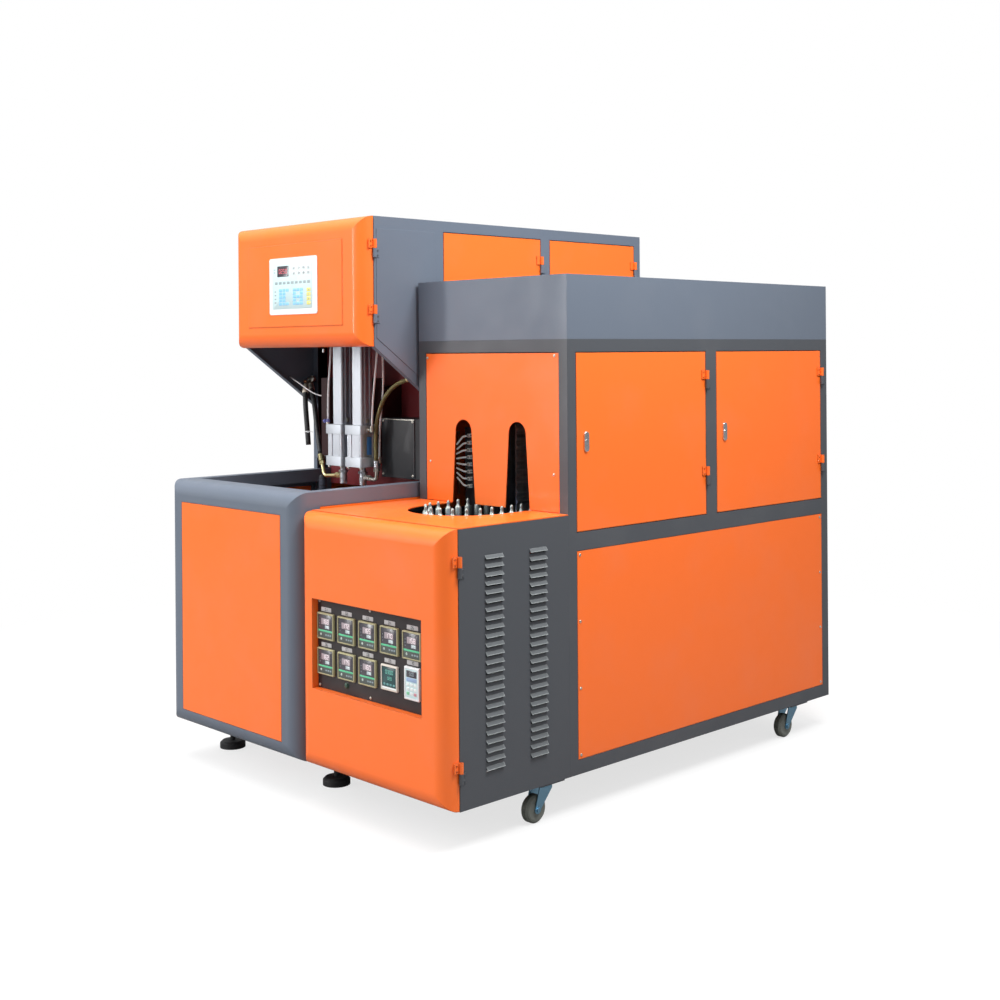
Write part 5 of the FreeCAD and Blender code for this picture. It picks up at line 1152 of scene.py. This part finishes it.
class SCENE_OT_blow_keypad(bpy.types.Operator):
    """Puts the films, the display and the keys on the head's keypad"""
    bl_idname = "scene.blow_keypad"
    bl_label = "Keypad"

    def execute(self, context):
        low, high = (Vector(corner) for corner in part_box("control_keypad"))
        (left, face, _), top = drawn(low), drawn(high)[2]
        wide, tall = (high.x - low.x) * 1000, (high.z - low.z) * 1000
        bench = Bench("keypad_keys")

        def spot(u, v, proud=0.0):
            return (left + wide * u, face - proud, top - tall * v)

        def key(u, v, width, height, name, proud=0.4, corner=1.4, base=0.35):
            bench.plate(spot(u, v, base), width, height, proud, name, corner=corner, soft=0.3)

        bench.plate(spot(0.485, 0.495), wide * 0.83, tall * 0.81, 0.35, "pale_field", 5.0, 0.2)
        key(0.294, 0.235, wide * 0.24, tall * 0.19, "dark_window", 0.5, 2.0)
        bench.figures("0250", spot(0.294, 0.235, 0.85), 15.0, "red_figures")
        for v in (0.2, 0.25):
            key(0.115, v, 8.0, 3.4, "grey_print", 0.15, 0.8)
        for u in (0.525, 0.63, 0.73, 0.83):
            for v in (0.187, 0.277):
                key(u, v, 17.0, 11.0, "keypad_film", 0.4, 3.0)
                key(u, v, 10.0, 6.0, "grey_print", 0.15, 2.4, 0.75)
                key(u, v, 5.0, 2.6, "keypad_film", 0.1, 0.8, 0.9)
        for k in range(9):
            key(0.15 + 0.085 * k, 0.44, 15.0, 8.4, "grey_key", 0.4, 1.2)
        for v in (0.59, 0.655, 0.72, 0.785):
            key(0.13, v, 9.0, 3.6, "grey_print", 0.15, 0.8)
        rows = (0.57, 0.63, 0.69, 0.75, 0.81)
        columns = ((0.24, rows), (0.313, rows), (0.386, (rows[0], rows[-1])), (0.535, rows),
                   (0.608, rows[::2]), (0.681, rows))
        for u, heights in columns:
            for v in heights:
                key(u, v, 16.0, 9.4, "sky_key")
        for v in (0.58, 0.657, 0.733, 0.81):
            key(0.83, v, 20.0, 11.0, "yellow_key")
            key(0.83, v, 8.0, 2.2, "grey_print", 0.12, 0.6, 0.75)
        bench.finished("head_door", "keypad_film")
        return {"FINISHED"}


INSTRUMENT_XS = [102.0 + 90.0 * k for k in range(5)]
UPPER_ROW, LOWER_ROW = 396.0, 300.0
PLATE_FACE, PANE_BACK, PANE_FACE, BEZEL_FACE = 20.0, 16.0, 14.7, 13.0
READINGS = ("168", "172", "165", "170", "158", "162", "175", "160")


def pane(x, z, width, height, face):
    """Turns shares of a pane, from its upper left corner, into places on it or so far proud of it."""
    return lambda u, v, proud=0.0: (x + (u - 0.5) * width, face - proud, z + (0.5 - v) * height)


class SCENE_OT_blow_instruments(bpy.types.Operator):
    """Makes the heat controllers, the timer and the drive keypad in the front door's plate"""
    bl_idname = "scene.blow_instruments"
    bl_label = "Instruments"

    def execute(self, context):
        bench = Bench("instruments")
        places = [(x, UPPER_ROW) for x in INSTRUMENT_XS] + [(x, LOWER_ROW) for x in INSTRUMENT_XS[:3]]
        for (x, z), reading in zip(places, READINGS):
            self.controller(bench, x, z, reading)
        self.timer(bench, INSTRUMENT_XS[3], LOWER_ROW)
        self.drive_keypad(bench, INSTRUMENT_XS[4], LOWER_ROW)
        places += [(INSTRUMENT_XS[3], LOWER_ROW - 2.0), (INSTRUMENT_XS[4], LOWER_ROW + 6.5)]
        for number, (x, z) in enumerate(places):
            bench.plate((x - 2.0, PLATE_FACE, z + 45.0), 44.0, 11.5, 0.5, "label_print", 1.5, 0.2)
            bench.figures(f"{number + 1:02d}", (x - 2.0, 19.5, z + 45.0), 8.5, "black_plastic")
        bench.turned((189.0, PLATE_FACE, 249.0), -BACK, [
            (0.0, 9.0), (1.0, 9.0), (1.4, 8.4), (1.4, 7.2), (4.2, 7.0), (5.2, 5.4), (5.6, 2.0)],
            "pilot_lens", 28)
        bench.finished("heater_front_door", "black_plastic", "control_instruments")
        return {"FINISHED"}

    def case(self, bench, x, z, width, height, frame_finish, frame=4.0):
        """The bezel with its recessed pane, and the case and terminals behind the plate."""
        def ring(inset, y):
            return [(x + u, y, z + v) for u, v in round_corners(width - 2 * inset, height - 2 * inset,
                                                               max(2.2 - inset * 0.4, 0.4))]
        bench.skin([ring(0.0, PLATE_FACE), ring(0.0, 14.6), ring(0.6, 13.5), ring(1.4, BEZEL_FACE),
                    ring(frame - 0.4, BEZEL_FACE), ring(frame, 13.5), ring(frame, PANE_BACK)],
                   frame_finish, closed=True)
        bench.plate((x, 90.0, z), width - 8.0, height - 8.0, 69.9, "black_plastic", 1.5, 1.0)
        for k in (-1, 0, 1):
            bench.plate((x + k * (width - 14.0) / 3, 90.0, z), 6.0, height - 18.0, 2.0,
                        "brass", 0.0, 0.4, "back")

    def controller(self, bench, x, z, reading):
        self.case(bench, x, z, 72.0, 72.0, "khaki_case")
        bench.plate((x, PANE_BACK, z), 64.2, 64.2, 1.3, "dark_window", 0.8, 0.1)
        spot = pane(x, z, 64.0, 64.0, PANE_FACE)
        bench.plate(spot(0.5, 0.3), 36.0, 16.5, 0.25, "rose_pane", 1.0, 0.08)
        bench.figures(reading, spot(0.52, 0.3, 0.25), 13.0, "rose_figures", 0.12)
        bench.plate(spot(0.62, 0.52), 19.0, 9.0, 0.25, "white_pane", 0.8, 0.08)
        bench.figures("170", spot(0.62, 0.52, 0.25), 6.6, "white_figures", 0.12)
        bench.plate(spot(0.5, 0.695), 63.6, 4.8, 0.3, "mint_band", soft=0.08)
        bench.plate(spot(0.5, 0.86), 63.6, 16.0, 0.2, "slate_band", soft=0.08)
        bench.turned(spot(0.2, 0.85, 0.2), -BACK,
                     [(0.0, 3.4), (0.3, 3.4), (0.6, 3.0), (0.7, 1.4)], "pale_print", 20)
        for u in (0.55, 0.7, 0.85):
            bench.plate(spot(u, 0.86, 0.2), 6.4, 4.4, 0.35, "grey_print", 1.0, 0.15)
        for v in (0.27, 0.4, 0.52):
            bench.turned(spot(0.11, v), -BACK, [(0.0, 1.2), (0.25, 1.2), (0.4, 0.7)], "grey_print", 12)

    def timer(self, bench, x, z):
        self.case(bench, x, z, 66.0, 66.0, "pale_case", 4.5)
        bench.plate((x, PANE_BACK, z), 57.2, 57.2, 1.3, "teal_pane", 0.8, 0.1)
        spot = pane(x, z, 57.0, 57.0, PANE_FACE)
        for (u, v), text, height in (((0.5, 0.24), "0300", 11.0), ((0.53, 0.52), "020", 8.6)):
            bench.figures(text, spot(u, v), height, "teal_figures", 0.15)
        for k in range(4):
            bench.plate(spot(0.17 + 0.22 * k, 0.8), 8.0, 5.4, 0.4, "teal_key", 1.0, 0.15)
        bench.plate(spot(0.5, 0.955), 56.0, 4.6, 0.4, "white_print", soft=0.1)

    def drive_keypad(self, bench, x, z):
        self.case(bench, x, z, 58.0, 84.0, "white_nylon", 5.5)
        bench.plate((x, PANE_BACK, z), 47.2, 73.2, 2.2, "pale_field", 1.0, 0.2)
        spot = pane(x, z, 47.0, 73.0, 13.8)
        bench.plate(spot(0.5, 0.17), 40.0, 17.0, 0.35, "dark_window", 1.0, 0.1)
        bench.figures("500", spot(0.5, 0.17, 0.35), 9.0, "grey_print", 0.12)
        bench.plate(spot(0.5, 0.37), 40.0, 10.0, 0.3, "blue_band", 0.8, 0.1)
        for row in range(3):
            for column in range(3):
                name = {(2, 0): "green_print", (2, 2): "red_print"}.get((row, column), "keypad_film")
                bench.plate(spot(0.2 + 0.3 * column, 0.54 + 0.155 * row), 10.5, 7.6, 0.5, name,
                            1.4, 0.25)


def chain_pins():
    """Pin centres round the whole loop with the direction of the chain at each."""
    rear = FRONT_SPROCKET_Y + STRAIGHT_LINKS * CHAIN_PITCH
    turn = TURN / SPROCKET_TEETH
    pins = []
    for y, start in ((FRONT_SPROCKET_Y, math.pi), (rear, 0.0)):
        for k in range(SPROCKET_TEETH // 2):
            a = start + turn * k
            pins.append((LOOP_MIDDLE + SPROCKET_RADIUS * math.cos(a), y + SPROCKET_RADIUS * math.sin(a)))
        side = 1 if start else -1
        for k in range(STRAIGHT_LINKS):
            step = FRONT_SPROCKET_Y + CHAIN_PITCH * k if side > 0 else rear - CHAIN_PITCH * k
            pins.append((LOOP_MIDDLE + side * SPROCKET_RADIUS, step))
    return pins


def link_plates(levels):
    """One link of the chain between two pins: a pair of waisted plates, about the middle of the link."""
    bench = Bench("link")
    half, r = CHAIN_PITCH / 2, 6.8
    outline = []
    for end in (1, -1):
        outline += [(end * (half + r * math.cos(math.radians(a))), end * r * math.sin(math.radians(a)))
                    for a in range(-90, 91, 30)]
        outline.append((end * half * 0.35, end * r * 0.62))
        outline.append((-end * half * 0.35, end * r * 0.62))
    for low, high in levels:
        bench.skin([[(u, v, z) for u, v in outline] for z in (low, high)], "chain_steel")
    return bench.shape()


class SCENE_OT_blow_chain(bpy.types.Operator):
    """Lays the roller chain's links round the loop, with a mandrel on every pin"""
    bl_idname = "scene.blow_chain"
    bl_label = "Chain and mandrels"

    def execute(self, context):
        pins = chain_pins()
        mandrel = Bench("mandrel_model")
        mandrel.turned((0, 0, 0), UP, [
            (-8.6, 5.0), (-0.2, 5.0), (0.0, 12.2), (0.8, 13.0), (2.6, 13.0), (4.6, 9.2), (36.0, 9.2),
            (38.0, 8.6), (40.0, 6.6), (43.0, 5.2), (46.0, 4.4), (49.0, 4.2), (52.0, 4.6), (55.0, 4.5),
            (57.6, 3.7), (59.4, 2.4), (60.0, 1.2)], "mandrel_steel", 16)
        places = [((x, y, CHAIN_TOP), UP, RIGHT) for x, y in pins]
        stood = set_on_points("mandrels", mandrel.shape(), places, "mandrel_steel", "machine")
        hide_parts("preform_chain")
        for name, first, levels in (("inner_links", 0, ((-7.0, -5.6), (-3.2, -1.8))),
                                    ("outer_links", 1, ((-8.8, -7.4), (-1.6, -0.2)))):
            places = []
            for k in range(first, len(pins), 2):
                a, b = Vector((*pins[k], CHAIN_TOP)), Vector((*pins[(k + 1) % len(pins)], CHAIN_TOP))
                places.append(((a + b) / 2, UP, (b - a).normalized()))
            set_on_points(name, link_plates(levels), places, "chain_steel", "machine")
        return {"FINISHED"}


class SCENE_OT_blow_lamps(bpy.types.Operator):
    """Puts the ceramic caps on the lamps, and bends their leads to the bus bars"""
    bl_idname = "scene.blow_lamps"
    bl_label = "Lamp ends"

    def execute(self, context):
        cap = Bench("lamp_cap")
        for half, z0, z1 in ((7.2, 0.0, 14.0), (5.4, 14.0, 25.0)):
            cap.skin([[(u, v, z) for u, v in round_corners(2 * (half - s), 11.4 - 2 * s, 1.6, 2)]
                      for z, s in ((z0, 0.6), (z0 + 0.8, 0.0), (z1 - 0.8, 0.0), (z1, 0.6))], "ceramic")
        pin = Bench("lamp_pin")
        pin.turned((0, 0, 0), UP, [(0.0, 3.6), (1.2, 3.8), (2.2, 3.0), (2.4, 1.9), (7.0, 1.9), (8.0, 1.2)],
                   "nickel", 12)
        heights = [LAMP_LOWEST + LAMP_PITCH * k for k in range(LAMP_LEVELS)]
        caps, pins = [], []
        for side in (-1, 1):
            x = LOOP_MIDDLE + side * LAMP_OFFSET
            for z in heights:
                caps += [((x, LAMP_FRONT + 24.0, z), -BACK, UP), ((x, LAMP_REAR - 24.0, z), BACK, UP)]
                pins += [((x, LAMP_FRONT - 1.0, z), -BACK, UP), ((x, LAMP_REAR + 1.0, z), BACK, UP)]
        # The caps and the leads take glowing finishes: painted light inside the oven.
        set_on_points("lamp_caps", cap.shape(), caps, "ceramic", "machine")
        set_on_points("lamp_pins", pin.shape(), pins, "nickel", "machine")
        for name, side in (("leads_left", -1), ("leads_right", 1)):
            bench = Bench(name)
            x = LOOP_MIDDLE + side * LAMP_OFFSET
            for k, z in enumerate(heights):
                start = Vector((x, LAMP_FRONT - 5.0, z))
                fan = (k - (LAMP_LEVELS - 1) / 2) * LAMP_PITCH * -0.34
                points = [start, start + Vector((LEAD_REACH * 0.22, -7.0 - (k % 2) * 2.0, fan * 0.12)),
                          start + Vector((LEAD_REACH, -1.0 - (k % 3), fan - 2.0))]
                bench.bent(pipe_line(points, 6.0, 4), 2.5, "lead_sleeve", 8)
            bar = x + side * 52.0
            bench.plate((bar, LAMP_FRONT + 8.0, (heights[0] + heights[-1]) / 2 - 8.0), 9.0, 186.0, 4.0,
                        "copper", 1.0, 0.5)
            bench.finished("machine", "bright_steel")
        return {"FINISHED"}


def lock_escutcheon(name, face, facing, y, z, body):
    """An oval lock plate with a stepped rim round the lock's core."""
    across, up, out = FACINGS[facing]
    middle, oval = Vector((face, y, z)), round_corners(18.8, 54.8, 9.3, 8)
    sides = [math.atan2(v, u) for u, v in oval]

    def ring(inset, reach):
        return [middle + out * reach + across * u * (1 - inset / 9.4) + up * v * (1 - inset / 27.4)
                for u, v in oval]

    def hole(radius, reach):
        return [middle + out * reach + (across * math.cos(t) + up * math.sin(t)) * radius for t in sides]
    bench = Bench(name)
    bench.skin([ring(0, 0), ring(0, 3.4), ring(0.5, 4.1), ring(1.3, 4.5), ring(1.9, 4.4), hole(7.6, 4.4),
                hole(7.3, 4.9), hole(6.8, 4.9), hole(6.7, 0)], "bright_chrome", closed=True)
    bench.finished(body, "bright_steel")


class SCENE_OT_blow_locks(bpy.types.Operator):
    """Puts an oval plate round the lock of every side door"""
    bl_idname = "scene.blow_locks"
    bl_label = "Lock plates"

    def execute(self, context):
        for end, oven, column in zip(("front", "rear"), OVEN_LOCK_YS, COLUMN_LOCK_YS):
            lock_escutcheon("oven_lock_" + end, HEATER_WIDTH, "right", oven, OVEN_LOCK_HEIGHT,
                            "oven_door_" + end)
            lock_escutcheon("column_lock_" + end, BLOWER_LEFT, "left", column, COLUMN_LOCK_HEIGHT,
                            "left_column_door_" + end)
        return {"FINISHED"}


SLOT_FACE, COLUMN_FACE = 446.9, 597.9    # the slot panel's face, and that of the wall behind the cylinders
FRONT_PANEL, BACK_PANEL = (-606, -85, 47, 686), (-645, -46, 782, 1508)    # the blower's: sides, foot, top
LOWER_PANELS, UPPER_PANELS = (39, 602), (651, 1138)        # heights of the heater's screwed panels
SCREW_SINK, LEAF_SCREW = 2.2, 0.8    # depth of the sunk screws, and size of the hinges' beside the panels'


def screw_places(facing, face, pairs):
    """Places of screws on an upright face: (across, height) pairs on it."""
    _, up, out = FACINGS[facing]
    if facing in ("front", "back"):
        return [((u, face, v), out, up) for u, v in pairs]
    return [((face, u, v), out, up) for u, v in pairs]


def panel_corners(a, b, low, high, inset=10.0, middles=0):
    """The screws of a panel: its corners, and more along its upright edges."""
    heights = [low + inset + (high - low - 2 * inset) * k / (middles + 1) for k in range(middles + 2)]
    return [(u, v) for u in (a + inset, b - inset) for v in heights]


HINGES = [("head_door", "right", BLOWER_RIGHT, HEAD_HINGE_Y, HEAD_HINGE_HEIGHTS),
          ("heater_front_door", "right", HEATER_WIDTH, FRONT_HINGE_Y, FRONT_HINGE_HEIGHTS)]
HINGES += [("oven_door_" + end, "right", HEATER_WIDTH, y, OVEN_HINGE_HEIGHTS)
           for end, y in zip(("front", "rear"), OVEN_HINGE_YS)]
HINGES += [("left_column_door_" + end, "left", BLOWER_LEFT, y, COLUMN_HINGE_HEIGHTS)
           for end, y in zip(("front", "rear"), COLUMN_HINGE_YS)]


def leaf_screws(facing, face, y, heights, moving):
    """Two screws in each leaf of hinges whose joints are at these heights."""
    towards, lift = (-1, 14.0) if moving else (1, -14.0)
    pairs = [(y + towards * 12.5, z + lift + d) for z in heights for d in (-7.0, 7.0)]
    return screw_places(facing, face + (3.0 if facing == "right" else -3.0), pairs)


def pan_screw():
    """A pan-head screw with a socket, top up."""
    bench = Bench("screw_model")
    bench.turned((0, 0, 0), UP, [
        (0.0, 4.2), (0.7, 4.2), (1.5, 3.6), (2.0, 2.6), (2.1, 1.9), (1.2, 1.6), (1.1, 0.6)], "nickel", 12)
    return bench.shape()


class SCENE_OT_blow_screws(bpy.types.Operator):
    """Puts the screws in the panels, hinges and plates"""
    bl_idname = "scene.blow_screws"
    bl_label = "Screws"

    def execute(self, context):
        panels = screw_places("front", SCREW_SINK, panel_corners(*FRONT_PANEL, 14.0, 1))
        panels += screw_places("front", SLOT_FACE, [(37.6, 1123), (557, 1128), (48, 818), (552, 806)])
        panels += screw_places("front", COLUMN_FACE, [(-628, 802), (-64, 802), (-64, 1000)])
        for facing, face in (("right", HEATER_WIDTH), ("left", 0.0)):
            panels += screw_places(facing, face, panel_corners(479, 1664, *LOWER_PANELS, 12.0, 2))
        for ys in ((479, 1050), (1100, 1664)):
            panels += screw_places("left", 0.0, panel_corners(*ys, *UPPER_PANELS, 12.0, 1))
        for heights in (LOWER_PANELS, UPPER_PANELS):
            panels += screw_places("back", HEATER_DEPTH - SCREW_SINK,
                                   panel_corners(31, 574, *heights, 12.0, 1))
        panels += screw_places("back", BLOWER_DEPTH, panel_corners(*BACK_PANEL, 12.0, 2))
        plate = screw_places("front", PLATE_FACE, [(x, z) for z in (462, 233) for x in (70, 289, 508)])
        set_on_points("panel_screws", pan_screw(), panels, "nickel", "machine")
        set_on_points("plate_screws", pan_screw(), plate, "nickel", "heater_front_door")
        hinges = [place for _, *hinge in HINGES for place in leaf_screws(*hinge, False)]
        set_on_points("hinge_screws", pan_screw(), hinges, "slate_paint", "machine", LEAF_SCREW)
        for body, *hinge in HINGES[:2] + HINGES[2::2] + HINGES[3::2]:        # front doors before rear ones
            set_on_points(body + "_screws", pan_screw(), leaf_screws(*hinge, True), "orange_paint", body,
                          LEAF_SCREW)
        return {"FINISHED"}


class SCENE_OT_blow_castors(bpy.types.Operator):
    """Puts the hubs, bearing races and fixings on the castors"""
    bl_idname = "scene.blow_castors"
    bl_label = "Castors"

    def execute(self, context):
        for y, end in zip(CASTOR_YS, ("front", "rear")):
            for x, side in zip(CASTOR_XS, ("left", "right")):
                wheel = Vector((x, y - CASTOR_TRAIL, FLOOR + WHEEL_RADIUS))
                self.wheel_discs(end + "_" + side, wheel)
                self.swivel_race(end + "_" + side, Vector((x, y, 0.0)))
        places = [((x + u, y + v, -4.0), -UP, RIGHT)
                  for x in CASTOR_XS for y in CASTOR_YS for u, v in corners(17.0, 34.0)]
        bolt = Bench("castor_bolt")
        hex_nut(bolt, (0, 0, 0), UP, 5.6, 4.0, "nickel")
        bolt.turned((0, 0, 3.6), UP, [(0.0, 3.0), (2.4, 3.0), (3.0, 2.4)], "nickel", 12)
        set_on_points("castor_bolts", bolt.shape(), places, "nickel", "machine")
        return {"FINISHED"}

    def wheel_discs(self, name, middle):
        """A pressed disc with a rolled rim on each side of the tyre."""
        bench = Bench("wheel_discs_" + name)
        for way in (-1, 1):
            bench.turned(middle + Vector((way * 11.9, 0, 0)), (way, 0, 0), [
                (0.0, 29.5), (0.9, 29.5), (1.3, 28.6), (0.9, 27.0), (0.8, 14.0), (1.6, 12.0), (2.4, 9.8),
                (2.4, 9.2), (0.0, 9.2)], "wheel_grey", 40, closed=True)
        bench.finished("wheel_" + name, "black_rubber")

    def swivel_race(self, name, middle):
        bench = Bench("swivel_race_" + name)
        bench.turned(middle + Vector((0, 0, -15.4)), UP, [
            (0.0, 25.2), (0.6, 26.2), (3.0, 27.4), (6.0, 27.6), (9.4, 26.6), (10.6, 25.2)],
            "blue_zinc", 40, closed=True)
        bench.finished("castor_" + name, "blue_zinc")


LAMPS_AIM = Vector((0.0, 0.0, 0.8))
FLOOR_HALF, FLOOR_GAP = 14.0, 0.0005


class SCENE_OT_blow_stage(bpy.types.Operator):
    """Sets up the pale floor and the soft studio light"""
    bl_idname = "scene.blow_stage"
    bl_label = "Stage"

    def execute(self, context):
        scene = context.scene
        bm = bmesh.new()
        bmesh.ops.create_grid(bm, x_segments=2, y_segments=2, size=FLOOR_HALF)
        floor = new_piece("floor", bm, "floor", None)
        floor.location.z = -FLOOR_GAP
        self.light_world(scene)
        settings = scene.blow_light
        for name, place, power, size in (
                ("key", (-1.4, -3.7, 2.9), settings.key, 2.0),
                ("side", (1.9, -0.2, 3.0), settings.side, 1.0),
                ("strip", (-3.0, -4.6, 1.7), settings.strip, 0.45),
                ("top", (-0.4, -1.0, 4.4), settings.top, 3.6)):
            data = bpy.data.lights.new(name, "AREA")
            data.energy, data.size, data.shape = power, size, "RECTANGLE"
            data.size_y = 2.4 if name == "strip" else size
            lamp = bpy.data.objects.new(name, data)
            scene.collection.objects.link(lamp)
            lamp.location = place
            aim = LAMPS_AIM - Vector(place)
            lamp.rotation_euler = aim.to_track_quat("-Z", "Y").to_euler()
        scene.view_settings.view_transform = "Standard"
        return {"FINISHED"}

    def light_world(self, scene):
        world = bpy.data.worlds.new("studio")
        scene.world = world
        world.use_nodes = True
        tree = world.node_tree
        back = tree.nodes["Background"]
        back.inputs["Color"].default_value = (1.0, 1.0, 1.0, 1.0)
        path = tree.nodes.new("ShaderNodeLightPath")
        spot = tree.nodes.new("ShaderNodeTexCoord")
        parts = tree.nodes.new("ShaderNodeSeparateXYZ")
        tree.links.new(spot.outputs["Generated"], parts.inputs["Vector"])
        height = tree.nodes.new("ShaderNodeMapRange")
        height.inputs["From Max"].default_value = 0.9
        height.inputs["To Min"].default_value = scene.blow_light.sky * 0.55
        height.inputs["To Max"].default_value = scene.blow_light.sky * 1.5
        tree.links.new(parts.outputs["Z"], height.inputs["Value"])
        level = tree.nodes.new("ShaderNodeMapRange")
        tree.links.new(height.outputs[0], level.inputs["To Min"])
        level.inputs["To Max"].default_value = 1.0
        tree.links.new(path.outputs["Is Camera Ray"], level.inputs["Value"])
        tree.links.new(level.outputs[0], back.inputs["Strength"])


class VIEW3D_PT_blow_moulder(bpy.types.Panel):
    bl_idname = "VIEW3D_PT_blow_moulder"
    bl_label = "Blow moulder"
    bl_space_type = "VIEW_3D"
    bl_region_type = "UI"
    bl_category = "Blow moulder"

    def draw(self, context):
        scene = context.scene
        for group in (scene.blow_paint, scene.blow_camera, scene.blow_light):
            for key in group.bl_rna.properties.keys():
                if key not in {"rna_type", "name"}:
                    self.layout.prop(group, key)
        for maker in MAKERS:
            self.layout.operator(maker.bl_idname)


SETTINGS = {"blow_paint": PaintSettings, "blow_camera": CameraSettings, "blow_light": LightSettings}
MAKERS = [SCENE_OT_blow_camera, SCENE_OT_blow_hoses, SCENE_OT_blow_finishes, SCENE_OT_blow_nozzles,
          SCENE_OT_blow_cylinders, SCENE_OT_blow_keypad, SCENE_OT_blow_instruments, SCENE_OT_blow_chain,
          SCENE_OT_blow_lamps, SCENE_OT_blow_locks, SCENE_OT_blow_screws, SCENE_OT_blow_castors,
          SCENE_OT_blow_stage]


def register():
    for group in SETTINGS.values():
        bpy.utils.register_class(group)
    for name, group in SETTINGS.items():
        setattr(bpy.types.Scene, name, bpy.props.PointerProperty(type=group))
    for maker in MAKERS + [VIEW3D_PT_blow_moulder]:
        bpy.utils.register_class(maker)


def unregister():
    for maker in reversed(MAKERS + [VIEW3D_PT_blow_moulder]):
        bpy.utils.unregister_class(maker)
    for name in SETTINGS:
        delattr(bpy.types.Scene, name)
    for group in reversed(list(SETTINGS.values())):
        bpy.utils.unregister_class(group)


def main():
    register()
    for maker in MAKERS:
        area, _, call = maker.bl_idname.partition(".")
        getattr(getattr(bpy.ops, area), call)()


if __name__ == "__main__":
    main()
